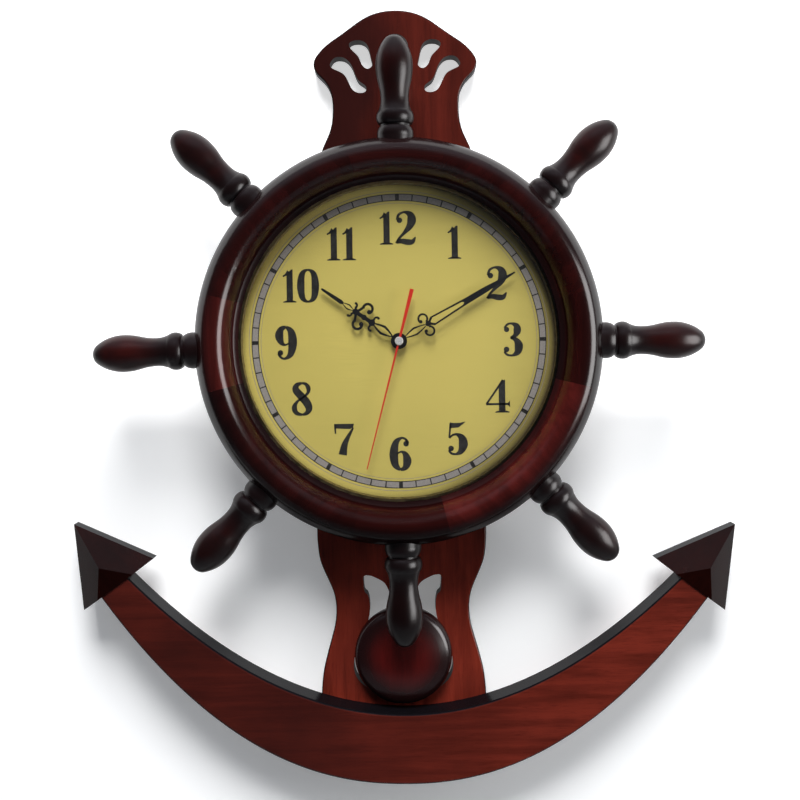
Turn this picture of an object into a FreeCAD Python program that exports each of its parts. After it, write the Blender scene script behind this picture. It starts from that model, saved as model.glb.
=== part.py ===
import FreeCAD, Part
import math
import os

# A ship's wheel wall clock: a turned rim with eight spoke handles stands off a fretted
# back board, a pendulum swings in the gap between them, and an anchor band with two
# flukes crosses the foot of the board.
# Millimetres, +Z up, +X to the right of someone who faces the dial, wall at y = 0.
# "Out" is the distance in front of the wall, so a point that is out by d has y = -d.
# The origin is the round entry of the keyhole hanger, on the wall.

V = FreeCAD.Vector

# Fits that every piece shares
GLUE_GAP = 0.1          # round a dowel or a screw in wood
RUN_GAP = 0.05          # radial, round a turning arbor
PUSH_GAP = 0.02         # radial, round a tube that carries a hand
SEAT_GAP = 0.3          # between a loose piece and what it lies on
OVERRUN = 2.0           # how far a cutting tool runs past a face

# Back board
BOARD_THICK = 15.0
PLANK_HALF = 70.0       # half the width of the plank behind the dial
CROWN_HALF = 67.4       # half the width across the crown's lobes
CROWN_TOP = 273.7       # above the dial centre, like every height below
NECK_TOP = 147.0        # where the crown grows out of the plank
TAIL_TOP = -160.0       # where the tail leaves the plank
TAIL_FOOT = -300.0      # where the tail goes behind the anchor band
BOARD_CORNER = -340.0
BOARD_FOOT = -350.0
BOARD_ROUND = 1.5       # softened front edge
FRET_HALF = 41.0        # the large pierced opening behind the bob
FRET_TOP = -193.5
FRET_FOOT = -292.0
TOP_HOLE_RADIUS = 11.0
TOP_HOLE_RISE = 243.0
WINDOW_HALF = 45.0      # access window behind the movement
WINDOW_TOP = 45.0
WINDOW_FOOT = -75.0
WINDOW_ROUND = 12.0

# Keyhole hanger let into the back of the crown
HANGER_RISE = 196.0     # of the round entry above the dial centre
HANGER_WIDTH = 46.0
HANGER_HEIGHT = 19.0
HANGER_THICK = 1.5
HANGER_ENTRY_RADIUS = 4.5
HANGER_SLOT_RADIUS = 2.2
HANGER_SLOT_RISE = 9.5
HANGER_DROP = 7.0       # from the entry to the plate's lower edge
HANGER_POCKET_DEPTH = 8.0
HANGER_POCKET_RADIUS = 6.0
HANGER_SCREW_REACH = 17.5
SMALL_SCREW_RADIUS = 1.5
SMALL_SCREW_HEAD = 2.9
SMALL_SCREW_LENGTH = 12.0

# Spacer blocks and the screws through them
SPACER_THICK = 15.0
SPACER_SIDE = 24.0
SPACER_REACH = 48.0     # sideways from the middle to a block's centre
SCREW_RADIUS = 2.0
SCREW_HEAD = 4.0
SCREW_SINK = 0.5        # head below the wood
RIM_SCREW_LENGTH = 44.0
BAND_SCREW_LENGTH = 32.0

# Wheel rim
RIM_RADIUS = 162.0
RIM_DEPTH = 44.0
TORUS_WIDTH = 31.0
TORUS_NOSE = 22.0       # depth of the rounded nose
TORUS_SIDE_RADIUS = 27.0  # of the arc on each side of the nose
RIM_BACK_ROUND = 8.0
RIM_WALL = 30.0         # from the rim's outside to the step where the nose ends
LIP_WIDTH = 5.0
LIP_EDGE = 1.2
RABBET_WIDTH = 4.0
SHORT_BLOCK_ANGLE = 28.6
HANDLE_OUT = 52.0

# Spoke handles
HANDLE_LENGTH = 85.0    # from the tip to the flat seat cut into the rim
HANDLE_RADIUS = 14.8
SEAT_DEPTH = 4.0        # of the seat, from the rim's outside
HANDLE_FOOT_RADIUS = 14.4
HANDLE_TIP_RADIUS = 10.0  # of the arc at the very end of the grip
TENON_RADIUS = 5.0
TENON_LENGTH = 18.0
HANDLE_COUNT = 8
# How far each handle leans off its eighth of the turn, degrees, from the right hand one
# on round by way of the top: the holes are drilled by hand.
HANDLE_LEANS = (-0.6, -0.5, 0.2, 1.6, 1.8, 2.3, 0.3, -0.8)

# Glazing and dial, from the lip backwards
GLASS_OUT = 56.5        # front of the glass
GLASS_THICK = 2.0
GLASS_GAP = 0.4         # round the glass, the ring, the dial and its backing
DIAL_OUT = 44.0         # front of the dial
DIAL_THICK = 0.8
RING_LAP = 2.0          # how far the spacer ring shows inside the lip
BACKING_THICK = 5.0
RETAINER_ANGLE = 12.0
RETAINER_WIDTH = 8.0

# Movement case
CASE_WIDTH = 58.0
CASE_TOP = 29.0         # above the hands' axis
CASE_FOOT = -52.0
CASE_DEPTH = 17.5
CASE_WALL = 1.3
CASE_ROUND = 4.0
COVER_THICK = 1.5
BUSH_RADIUS = 4.0
BUSH_LENGTH = 9.0
POST_RADIUS = 1.6
POST_REACH = 23.0       # sideways from the hands' axis to the train plate's posts

# Arbors and tubes on the hands' axis
ARBOR_RADIUS = 0.5
MINUTE_TUBE_RADIUS = 1.5
HOUR_TUBE_RADIUS = 2.5
NUT_FLATS = 10.0
NUT_THICK = 2.2
WASHER_RADIUS = 6.2
WASHER_THICK = 0.4

# Gear train: tooth counts, then the two centre distances
CANNON_TEETH = 8
MOTION_TEETH = 24
MOTION_PINION_TEETH = 8
HOUR_TEETH = 32
KNOB_TEETH = 8
MINUTE_TEETH = 48
THIRD_PINION_TEETH = 6
THIRD_TEETH = 45
SECOND_PINION_TEETH = 6
MOTION_REACH = 9.6
THIRD_REACH = 10.8
WHEEL_THICK = 0.8
PINION_THICK = 1.2
WHEEL_STEP = 0.2        # air between one wheel and the next
TOOTH_TIP_SHARE = 0.8   # of the module, outside the pitch circle
TOOTH_ROOT_SHARE = 1.05
TIP_HALF_SHARE = 0.09   # half a tooth's width as a share of the pitch, at its tip
ROOT_HALF_SHARE = 0.26
MOTION_POST_RADIUS = 0.8
KNOB_ARBOR_RADIUS = 1.0
KNOB_RADIUS = 6.0
KNOB_THICK = 3.5
KNOB_FLUTES = 12
KNOB_FLUTE_RADIUS = 0.7
PLATE_THICK = 1.0

# Battery, motor and circuit
BATTERY_RADIUS = 7.05
BATTERY_LENGTH = 50.0
BATTERY_RISE = 19.5
BATTERY_NUB_RADIUS = 2.7
BATTERY_NUB = 1.4
CONTACT_THICK = 0.5
CONTACT_SIDE = 9.0
COIL_RADIUS = 3.8
COIL_LENGTH = 20.0
COIL_DROP = 20.0
STATOR_HALF = 15.0
STATOR_LEG = 3.0
ROTOR_WELL_RADIUS = 4.0
CIRCUIT_WIDTH = 44.0
CIRCUIT_HEIGHT = 20.0
CIRCUIT_THICK = 1.2
DRIVE_COIL_RADIUS = 7.0
DRIVE_COIL_BORE = 2.5
DRIVE_COIL_THICK = 4.2

# Pendulum
PIVOT_DROP = 25.0       # below the hands' axis
PIVOT_RADIUS = 1.5
PIVOT_HEAD_RADIUS = 2.6
PIVOT_HEAD_THICK = 0.7
HANGER_ARM_THICK = 3.4
ARM_EYE_RADIUS = 4.5
ARM_BOSS_RADIUS = 6.0
ARM_LENGTH = 37.0
ARM_SOCKET_HALF = 3.5
ARM_SOCKET_DEPTH = 10.0
MAGNET_RADIUS = 4.0
MAGNET_THICK = 2.4
MAGNET_DROP = 43.0
ROD_RADIUS = 1.2
BOB_RADIUS = 40.0
BOB_DROP = 258.0        # of the bob's centre below the dial centre
BOB_THICK = 17.0
BOB_EDGE = 3.0          # straight edge behind the dome
BOB_SHOULDER_RADIUS = 8.0
BOB_OUT = 16.5          # back of the bob
BOB_CLIP_WIDTH = 16.0
BOB_CLIP_HEIGHT = 9.0
BOB_CLIP_THICK = 0.8
ROD_IN_BOB = 26.0       # how far the rod runs past the bob's centre

# Hands, with the angle from twelve at which each stands, degrees clockwise
HOUR_ANGLE = 304.7
MINUTE_ANGLE = 60.1
SECOND_ANGLE = 194.8
HOUR_REACH_SHARE = 0.597  # lengths as shares of the dial's open radius
MINUTE_REACH_SHARE = 0.858
SECOND_REACH_SHARE = 0.84
SECOND_TAIL_SHARE = 0.34
HAND_THICK = 0.4
HOUR_HAND_OUT = 47.8    # back of each hand
MINUTE_HAND_OUT = 49.6
SECOND_HAND_OUT = 51.4
HOUR_HUB_RADIUS = 6.5
MINUTE_HUB_RADIUS = 5.0
SECOND_HUB_RADIUS = 3.0
CAP_RADIUS = 3.4
CAP_THICK = 1.0
BLADE_BULGE_SHARE = 0.12
NEEDLE_HALF = 0.8
NEEDLE_TIP_HALF = 0.4
TAIL_HALF = 1.6

# Anchor band and flukes
BAND_THICK = 24.0
BAND_TOP = -301.3       # inner edge in the middle
BAND_FOOT = -357.6      # outer edge in the middle
BAND_SPREAD = 262.0     # half the width over which the band's edges are drawn
BAND_INNER_RISE = 152.4  # how far the inner edge climbs over that width
BAND_OUTER_RISE = 175.0
BAND_INNER_POWER = 2.0  # of the distance from the middle with which an edge climbs
BAND_OUTER_POWER = 2.2
BAND_ROUND = 2.0
FLUKE_SIDE = 70.5
FLUKE_EDGE = 13.0       # height of the fluke's side walls
FLUKE_PEAK = 29.0       # height of the point where its planes meet
FLUKE_SET = 16.8        # sideways, from where the band is drawn to back to the fluke's centre
FLUKE_LIFT = 5.0        # of that centre above the band's middle line
FLUKE_COCK = 2.6        # how much steeper than the band the fluke points, degrees
BAND_LEAN = 0.8         # the anchor is screwed on a little askew, degrees clockwise
REAR_FACET_SHARE = 0.25  # where the third plane starts along the rear edge
DOWEL_RADIUS = 3.0
DOWEL_LENGTH = 30.0
DOWEL_SPREAD = 9.0

# Outlines, as shares of the sizes above, chosen by eye
CROWN_SHARES = (
    (0.36, 0.956), (0.52, 0.901), (0.69, 0.836), (0.83, 0.784), (0.94, 0.726),
    (1, 0.667), (0.985, 0.612), (0.875, 0.545), (0.792, 0.458), (0.773, 0.339),
    (0.825, 0.197), (0.9, 0.11),
)
TAIL_SHARES = (
    (0.993, 0.06), (0.974, 0.133), (0.927, 0.204), (0.863, 0.275), (0.809, 0.346),
    (0.786, 0.43), (0.797, 0.51), (0.843, 0.607), (0.907, 0.72), (0.951, 0.82),
    (0.969, 0.913), (0.971, 1),
)
FRET_SIDE_SHARES = (
    (0, 1), (0.49, 0.985), (0.77, 0.93), (0.93, 0.865), (1, 0.78), (0.963, 0.655),
    (0.817, 0.503), (0.695, 0.37), (0.663, 0.29), (0.71, 0.16), (0.785, 0.045),
)
FRET_TIP_SHARE = (0.77, 0.005)
FRET_LOBE_SHARES = (
    (0.7, 0), (0.55, 0.018), (0.35, 0.072), (0.268, 0.14), (0.15, 0.215), (0, 0.24),
)
INNER_LEAF_SHARES = (
    (0.482, 0.806), (0.349, 0.782), (0.289, 0.679), (0.282, 0.64), (0.335, 0.62),
    (0.408, 0.648), (0.445, 0.695), (0.528, 0.743), (0.564, 0.778),
)
OUTER_LEAF_SHARES = (
    (0.691, 0.699), (0.586, 0.679), (0.513, 0.616), (0.438, 0.537), (0.358, 0.498),
    (0.365, 0.474), (0.423, 0.462), (0.513, 0.478), (0.571, 0.529), (0.632, 0.585),
    (0.72, 0.612), (0.798, 0.642), (0.77, 0.68),
)
# Handle: along from the tip as a share of its length to the seat, radius as a share
GRIP_SWELL_SHARES = (0.29, 1)
GRIP_WAIST_SHARES = (0.6, 0.76)
GRIP_FLARE_SHARES = ((0.658, 0.795), (0.712, 0.9))
BEAD_SHARES = ((0.712, 0.9), (0.772, 1.015), (0.838, 0.89))
NECK_SHARES = ((0.842, 0.81), (0.86, 0.81))
FOOT_SHARES = ((0.864, 0.87), (0.905, 0.965), (0.95, 0.973))

# Hands, as shares of a hand's length. A loop is from, to, half width and stroke. A knot is
# distance and radius. A hook is the side step, distance and radius of its arc, then the
# root on the stem, its stroke and its ball, with the arc's two angles in its own table.
# A plate is half an outline, side step and distance.
HOUR_LOOP_SHARES = ((0.07, 0.35, 0.054, 0.027), (0.575, 0.735, 0.032, 0.015))
HOUR_KNOT_SHARES = ((0.35, 0.036), (0.45, 0.03), (0.56, 0.034))
HOUR_HOOK_SHARES = (
    (0.052, 0.32, 0.03, 0.362, 0.022, 0.014), (0.1, 0.468, 0.05, 0.55, 0.028, 0.024),
    (0.05, 0.61, 0.03, 0.56, 0.022, 0.014),
)
HOUR_HOOK_ANGLES = ((110, -10), (110, -125), (-110, -10))
HOUR_STEM_SHARES = ((0.021, 0.33), (0.021, 0.58))
HOUR_SPEAR_SHARES = ((0.01, 0.715), (0.023, 0.745), (0.019, 0.86), (0.013, 0.985), (0.008, 1))
MINUTE_LOOP_SHARES = ((0.035, 0.25, 0.032, 0.014),)
MINUTE_KNOT_SHARES = ((0.253, 0.021),)
MINUTE_HOOK_SHARES = ((0.052, 0.236, 0.033, 0.258, 0.015, 0.013),)
MINUTE_HOOK_ANGLES = ((150, -115),)
FORK_SHARES = ((0.008, 0.25), (0.036, 0.29), (0.024, 0.575))
FORK_GAP_SHARES = ((0.003, 0.275), (0.0235, 0.3), (0.011, 0.545), (0.003, 0.56))
MINUTE_SPEAR_SHARES = ((0.024, 0.57), (0.022, 0.74), (0.011, 0.92), (0.006, 1))

# Worked out places
DIAL_Z = -HANGER_RISE
RIM_BACK = BOARD_THICK + SPACER_THICK
RIM_FRONT = RIM_BACK + RIM_DEPTH
BACKING_OUT = DIAL_OUT - DIAL_THICK
CASE_FRONT = BACKING_OUT - BACKING_THICK
CASE_BACK = CASE_FRONT - CASE_DEPTH
CAVITY_FRONT = CASE_FRONT - CASE_WALL
CAVITY_BACK = CASE_BACK + COVER_THICK
HOUR_WHEEL_OUT = CAVITY_FRONT - WHEEL_STEP - WHEEL_THICK
MOTION_WHEEL_OUT = HOUR_WHEEL_OUT - 2 * WHEEL_STEP - PINION_THICK - WHEEL_THICK
MINUTE_WHEEL_OUT = MOTION_WHEEL_OUT - 2 * WHEEL_STEP - PINION_THICK
THIRD_WHEEL_OUT = MINUTE_WHEEL_OUT - 2 * WHEEL_STEP - PINION_THICK - WHEEL_STEP
PLATE_OUT = THIRD_WHEEL_OUT - PINION_THICK - PLATE_THICK
ARM_FRONT = CASE_BACK - SEAT_GAP
ARM_BACK = ARM_FRONT - HANGER_ARM_THICK
ROD_OUT = ARM_BACK + HANGER_ARM_THICK / 2
BAND_FRONT = BOARD_THICK + BAND_THICK
CIRCUIT_LOW = CASE_FOOT + 2 * CASE_WALL
CIRCUIT_OUT = CAVITY_BACK + SEAT_GAP + DRIVE_COIL_THICK
BATTERY_OUT = CAVITY_BACK + SEAT_GAP + BATTERY_RADIUS
STATOR_OUT = PLATE_OUT - PLATE_THICK
THIRD_ARBOR_END = MINUTE_WHEEL_OUT + WHEEL_THICK + 2 * WHEEL_STEP + PINION_THICK
CANNON_MODULE = 2 * MOTION_REACH / (CANNON_TEETH + MOTION_TEETH)
HOUR_MODULE = 2 * MOTION_REACH / (MOTION_PINION_TEETH + HOUR_TEETH)
MINUTE_MODULE = 2 * THIRD_REACH / (MINUTE_TEETH + THIRD_PINION_TEETH)
THIRD_MODULE = 2 * THIRD_REACH / (THIRD_TEETH + SECOND_PINION_TEETH)
STEP_RADIUS = RIM_RADIUS - RIM_WALL
LIP_RADIUS = STEP_RADIUS - LIP_WIDTH
RABBET_RADIUS = LIP_RADIUS + RABBET_WIDTH
GLASS_RADIUS = RABBET_RADIUS - GLASS_GAP
DIAL_WELL_RADIUS = LIP_RADIUS - RING_LAP
HANDLE_SEAT = RIM_RADIUS - SEAT_DEPTH
HANDLE_TIP = HANDLE_SEAT + HANDLE_LENGTH
HOUR_LENGTH = HOUR_REACH_SHARE * DIAL_WELL_RADIUS
MINUTE_LENGTH = MINUTE_REACH_SHARE * DIAL_WELL_RADIUS
SECOND_LENGTH = SECOND_REACH_SHARE * DIAL_WELL_RADIUS
SECOND_TAIL = SECOND_TAIL_SHARE * DIAL_WELL_RADIUS
FLUKE_REACH = BAND_SPREAD - FLUKE_SET
FLUKE_SPAN_SHARE = FLUKE_REACH / BAND_SPREAD
INNER_CLIMB = BAND_INNER_RISE * FLUKE_SPAN_SHARE ** BAND_INNER_POWER
OUTER_CLIMB = BAND_OUTER_RISE * FLUKE_SPAN_SHARE ** BAND_OUTER_POWER
FLUKE_HEIGHT = (BAND_TOP + INNER_CLIMB + BAND_FOOT + OUTER_CLIMB) / 2 + FLUKE_LIFT
END_SLOPE = (INNER_CLIMB * BAND_INNER_POWER + OUTER_CLIMB * BAND_OUTER_POWER) / (2 * FLUKE_REACH)
FLUKE_TURN = math.degrees(math.atan(END_SLOPE)) + FLUKE_COCK
LEFT = 270
RIGHT = 90


def place(x, out, height):
    """A point by its distance right of the middle, out from the wall and above the dial centre."""
    return V(x, -out, DIAL_Z + height)


def box(x0, x1, out0, out1, low, high):
    """A block between two distances sideways, out from the wall and above the dial centre."""
    return Part.makeBox(x1 - x0, out1 - out0, high - low, V(x0, -out1, DIAL_Z + low))


def rod(radius, out0, out1, x=0, height=0):
    """A round bar that points out from the wall."""
    return Part.makeCylinder(radius, out1 - out0, place(x, out0, height), V(0, -1, 0))


def tube(radius, bore, out0, out1, x=0, height=0):
    outer = rod(radius, out0, out1, x, height)
    return outer.cut(rod(bore, out0 - OVERRUN, out1 + OVERRUN, x, height))


def curve(points, closed=False, start=None, end=None):
    """A smooth edge through a few points."""
    line = Part.BSplineCurve()
    if closed:
        line.interpolate(Points=points, PeriodicFlag=True)
    elif start and end:
        line.interpolate(Points=points, InitialTangent=start, FinalTangent=end)
    else:
        line.interpolate(points)
    return line.toShape()


def lines(points):
    return [Part.makeLine(a, b) for a, b in zip(points, points[1:])]


def arc(a, middle, b):
    return Part.Arc(a, middle, b).toShape()


def oval_quarter(centre, side, top, side_radius):
    """Two arcs that meet smoothly, from the end of one half axis to the end of the other.

    The half axes are vectors from the centre, and side_radius is the radius of the first arc."""
    a = side.Length
    b = top.Length
    top_radius = (a * a + b * b - 2 * a * side_radius) / (2 * (b - side_radius))
    side_middle = centre + side * (1 - side_radius / a)
    top_middle = centre + top * (1 - top_radius / b)
    if side_radius > top_radius:
        way = (top_middle - side_middle).normalize()
        meet = side_middle + way * side_radius
    else:
        way = (side_middle - top_middle).normalize()
        meet = top_middle + way * top_radius
    return [
        round_edge(side_middle, side_radius, centre + side, meet),
        round_edge(top_middle, top_radius, meet, centre + top),
    ]


def round_edge(middle, radius, a, b):
    """The short arc about a middle from one point to another."""
    way = ((a - middle).normalize() + (b - middle).normalize()).normalize()
    return arc(a, middle + way * radius, b)


def swell(a, b, axis):
    """Two arcs that meet smoothly halfway and run along the axis at both ends."""
    run = (b - a).dot(axis)
    rise = (b - a) - axis * run
    radius = (b - a).Length ** 2 / (4 * rise.Length)
    up = V(rise).normalize()
    half = (a + b) / 2
    return [
        round_edge(a + up * radius, radius, a, half),
        round_edge(b - up * radius, radius, half, b),
    ]


def mirrored(edges):
    """The same edges on the other side of the middle."""
    return [e.mirror(V(0, 0, 0), V(1, 0, 0)) for e in edges]


def slab(edges, out0, out1):
    """A plate cut to a closed outline drawn at out0."""
    wire = Part.Wire(Part.__sortEdges__(edges))
    return Part.Face(wire).extrude(V(0, out0 - out1, 0))


def turned(edges, angle=360):
    """A piece turned about the dial's axis from a profile drawn in the plane to the right."""
    face = Part.Face(Part.Wire(edges))
    return face.revolve(place(0, 0, 0), V(0, -1, 0), angle)


def rounded_box(x0, x1, out0, out1, low, high, radius):
    """A block whose four corners are rounded as seen from the front."""
    block = box(x0, x1, out0, out1, low, high)
    corners = [
        e for e in block.Edges
        if abs(e.Vertexes[0].X - e.Vertexes[1].X) < PUSH_GAP
        and abs(e.Vertexes[0].Z - e.Vertexes[1].Z) < PUSH_GAP
    ]
    return block.makeFillet(radius, corners)


def front_edges(shape, out, test=lambda e: True):
    """The edges that lie in the plane at this distance out."""
    return [
        e for e in shape.Edges
        if abs(e.BoundBox.YMin + out) < PUSH_GAP and abs(e.BoundBox.YMax + out) < PUSH_GAP and test(e)
    ]


def spun(shape, degrees):
    """Turned clockwise about the dial's axis, as someone who faces the dial sees it."""
    turnedshape = shape.copy()
    turnedshape.rotate(place(0, 0, 0), V(0, 1, 0), degrees)
    return turnedshape


def group(shapes):
    return Part.makeCompound(shapes)


# Wood screws, all driven from the back
def wood_screw(radius, head_radius, length, out, x, height):
    """A countersunk screw whose head lies at this distance out."""
    head = Part.makeCone(
        head_radius, radius, head_radius - radius, place(x, out, height), V(0, -1, 0)
    )
    taper = 2 * radius
    shank = rod(radius, out, out + length - taper, x, height)
    point = Part.makeCone(
        radius, radius / 4, taper, place(x, out + length - taper, height), V(0, -1, 0)
    )
    return head.fuse([shank, point]).removeSplitter()


def screw_hole(radius, head_radius, length, out, x, height):
    """The room for that screw, a glue gap wider and longer."""
    reach = out + length + GLUE_GAP
    shank = rod(radius + GLUE_GAP, -OVERRUN, reach, x, height)
    sink = Part.makeCone(
        head_radius + GLUE_GAP, radius + GLUE_GAP, head_radius - radius,
        place(x, out, height), V(0, -1, 0),
    )
    return shank.fuse([sink, rod(head_radius + GLUE_GAP, -OVERRUN, out, x, height)])


SPACER_HEIGHT = math.sqrt((RIM_RADIUS - TORUS_WIDTH / 2) ** 2 - SPACER_REACH ** 2)
SPACER_SPOTS = [(sx * SPACER_REACH, sz * SPACER_HEIGHT) for sx in (-1, 1) for sz in (-1, 1)]
BAND_MIDDLE = (BAND_TOP + BOARD_CORNER) / 2
BAND_SCREW_SPOTS = [
    (sx * PLANK_HALF / 2, BAND_MIDDLE + sz * SPACER_SIDE / 2) for sx in (-1, 1) for sz in (-1, 1)
]
HANGER_MIDDLE = HANGER_RISE - HANGER_DROP + HANGER_HEIGHT / 2
HANGER_SCREW_SPOTS = [(s * HANGER_SCREW_REACH, HANGER_MIDDLE) for s in (-1, 1)]


def rim_screw(x, height):
    return SCREW_RADIUS, SCREW_HEAD, RIM_SCREW_LENGTH, SCREW_SINK, x, height


def band_screw(x, height):
    return SCREW_RADIUS, SCREW_HEAD, BAND_SCREW_LENGTH, SCREW_SINK, x, height


def hanger_screw(x, height):
    return SMALL_SCREW_RADIUS, SMALL_SCREW_HEAD, SMALL_SCREW_LENGTH, 0, x, height


# Back board
def crown_point(share):
    return place(share[0] * CROWN_HALF, 0, NECK_TOP + share[1] * (CROWN_TOP - NECK_TOP))


def tail_point(share):
    return place(share[0] * PLANK_HALF, 0, TAIL_TOP + share[1] * (TAIL_FOOT - TAIL_TOP))


def fret_point(share):
    return place(share[0] * FRET_HALF, 0, FRET_TOP + share[1] * (FRET_FOOT - FRET_TOP))


def board_outline():
    top = place(0, 0, CROWN_TOP)
    shoulder = place(PLANK_HALF, 0, NECK_TOP)
    crown = [top] + [crown_point(s) for s in CROWN_SHARES] + [shoulder]
    tail = [place(PLANK_HALF, 0, TAIL_TOP)] + [tail_point(s) for s in TAIL_SHARES]
    corner = place(tail[-1].x, 0, BOARD_CORNER)
    half = [curve(crown, start=V(1, 0, 0), end=V(1, 0, -1))]
    half += lines([shoulder, tail[0]])
    half += [curve(tail, start=V(0, 0, -1), end=V(0, 0, -1))]
    half += lines([tail[-1], corner])
    foot = arc(corner, place(0, 0, BOARD_FOOT), V(-corner.x, 0, corner.z))
    return half + mirrored(half) + [foot]


def fret_outline():
    side = [fret_point(s) for s in FRET_SIDE_SHARES]
    lobe = [fret_point(s) for s in FRET_LOBE_SHARES]
    half = [
        curve(side, start=V(1, 0, 0), end=V(0, 0, 1)),
        arc(side[-1], fret_point(FRET_TIP_SHARE), lobe[0]),
        curve(lobe, start=V(-1, 0, 0), end=V(-1, 0, 0)),
    ]
    return half + mirrored(half)


def hanger_plate_blank(gap):
    low = HANGER_RISE - HANGER_DROP
    half = HANGER_WIDTH / 2 + gap
    return box(-half, half, 0, HANGER_THICK, low - gap, low + HANGER_HEIGHT + gap)


def make_back_board():
    board = slab(board_outline(), 0, BOARD_THICK)
    board = board.makeFillet(BOARD_ROUND, front_edges(board, BOARD_THICK))
    cuts = [slab(fret_outline(), -OVERRUN, BOARD_THICK + OVERRUN)]
    for shares in (INNER_LEAF_SHARES, OUTER_LEAF_SHARES):
        leaf = [curve([crown_point(s) for s in shares], closed=True)]
        for edges in (leaf, mirrored(leaf)):
            cuts.append(slab(edges, 0, BOARD_THICK + OVERRUN))
    cuts.append(rod(TOP_HOLE_RADIUS, -OVERRUN, BOARD_THICK + OVERRUN, 0, TOP_HOLE_RISE))
    cuts.append(rounded_box(
        -WINDOW_HALF, WINDOW_HALF, -OVERRUN, BOARD_THICK + OVERRUN,
        WINDOW_FOOT, WINDOW_TOP, WINDOW_ROUND,
    ))
    cuts.append(hanger_plate_blank(GLUE_GAP))
    cuts.append(hanger_pocket())
    cuts += [screw_hole(*rim_screw(x, h)) for x, h in SPACER_SPOTS]
    cuts += [screw_hole(*band_screw(x, h)) for x, h in BAND_SCREW_SPOTS]
    cuts += [screw_hole(*hanger_screw(x, h)) for x, h in HANGER_SCREW_SPOTS]
    return board.cut(cuts)


def hanger_pocket():
    """Room behind the hanger plate for the head of the wall screw."""
    depth = HANGER_THICK + HANGER_POCKET_DEPTH
    rise = HANGER_RISE + HANGER_SLOT_RISE
    low = rod(HANGER_POCKET_RADIUS, 0, depth, 0, HANGER_RISE)
    high = rod(HANGER_POCKET_RADIUS, 0, depth, 0, rise)
    middle = box(-HANGER_POCKET_RADIUS, HANGER_POCKET_RADIUS, 0, depth, HANGER_RISE, rise)
    return low.fuse([high, middle])


def make_hanger_plate():
    plate = hanger_plate_blank(0)
    rise = HANGER_RISE + HANGER_SLOT_RISE
    cuts = [
        rod(HANGER_ENTRY_RADIUS, -OVERRUN, HANGER_THICK + OVERRUN, 0, HANGER_RISE),
        rod(HANGER_SLOT_RADIUS, -OVERRUN, HANGER_THICK + OVERRUN, 0, rise),
        box(-HANGER_SLOT_RADIUS, HANGER_SLOT_RADIUS, -OVERRUN, HANGER_THICK + OVERRUN,
            HANGER_RISE, rise),
    ]
    cuts += [screw_hole(*hanger_screw(x, h)) for x, h in HANGER_SCREW_SPOTS]
    return plate.cut(cuts)


def make_spacer_blocks():
    half = SPACER_SIDE / 2
    blocks = []
    for x, height in SPACER_SPOTS:
        block = box(x - half, x + half, BOARD_THICK, RIM_BACK, height - half, height + half)
        blocks.append(block.cut(screw_hole(*rim_screw(x, height))))
    return group(blocks)


# Anchor band, with two near parabolic edges
def band_edge(middle, rise, power):
    """Points of an edge that climbs as a power of the distance from the middle."""
    count = 8
    points = []
    for i in range(-count, count + 1):
        share = i / count
        height = middle + rise * abs(share) ** power
        points.append(place(share * BAND_SPREAD, BOARD_THICK, height))
    return points


def leaned(shape):
    """The shape turned about the middle of the band, as the whole anchor leans."""
    turned_shape = shape.copy()
    turned_shape.rotate(place(0, 0, BAND_MIDDLE), V(0, 1, 0), BAND_LEAN)
    return turned_shape


def fluke_corners():
    """The tip and the two barbs of the right hand fluke, seen from the front."""
    reach = FLUKE_SIDE / math.sqrt(3)
    corners = []
    for turn in (0, 120, 240):
        a = math.radians(FLUKE_TURN + turn)
        corners.append((FLUKE_REACH + reach * math.cos(a), FLUKE_HEIGHT + reach * math.sin(a)))
    return corners


def make_anchor_band():
    inner = band_edge(BAND_TOP, BAND_INNER_RISE, BAND_INNER_POWER)
    outer = band_edge(BAND_FOOT, BAND_OUTER_RISE, BAND_OUTER_POWER)
    edges = [curve(inner), curve(outer)]
    edges += [Part.makeLine(inner[0], outer[0]), Part.makeLine(inner[-1], outer[-1])]
    band = slab(edges, BOARD_THICK, BAND_FRONT)
    band = band.cut([end_cutter(), end_cutter().mirror(V(0, 0, 0), V(1, 0, 0))])
    long_edges = front_edges(band, BAND_FRONT, lambda e: e.Length > BAND_SPREAD)
    band = band.makeFillet(BAND_ROUND, long_edges)
    band = leaned(band.cut(dowel_set(1, GLUE_GAP) + dowel_set(-1, GLUE_GAP)))
    return band.cut([screw_hole(*band_screw(x, h)) for x, h in BAND_SCREW_SPOTS])


def end_cutter():
    """All that lies past the face on which the right hand fluke is seated."""
    barb_up, barb_down = fluke_corners()[1:]
    far = 2 * FLUKE_SIDE
    a = math.radians(FLUKE_TURN)
    way = (math.cos(a), math.sin(a))
    along = (-way[1], way[0])
    middle = ((barb_up[0] + barb_down[0]) / 2, (barb_up[1] + barb_down[1]) / 2)
    corners = []
    for side, ahead in ((-far, 0), (far, 0), (far, far), (-far, far)):
        x = middle[0] + along[0] * side + way[0] * ahead
        height = middle[1] + along[1] * side + way[1] * ahead
        corners.append(place(x, BOARD_THICK - OVERRUN, height))
    return slab(lines(corners + corners[:1]), BOARD_THICK - OVERRUN, BAND_FRONT + OVERRUN)


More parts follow.
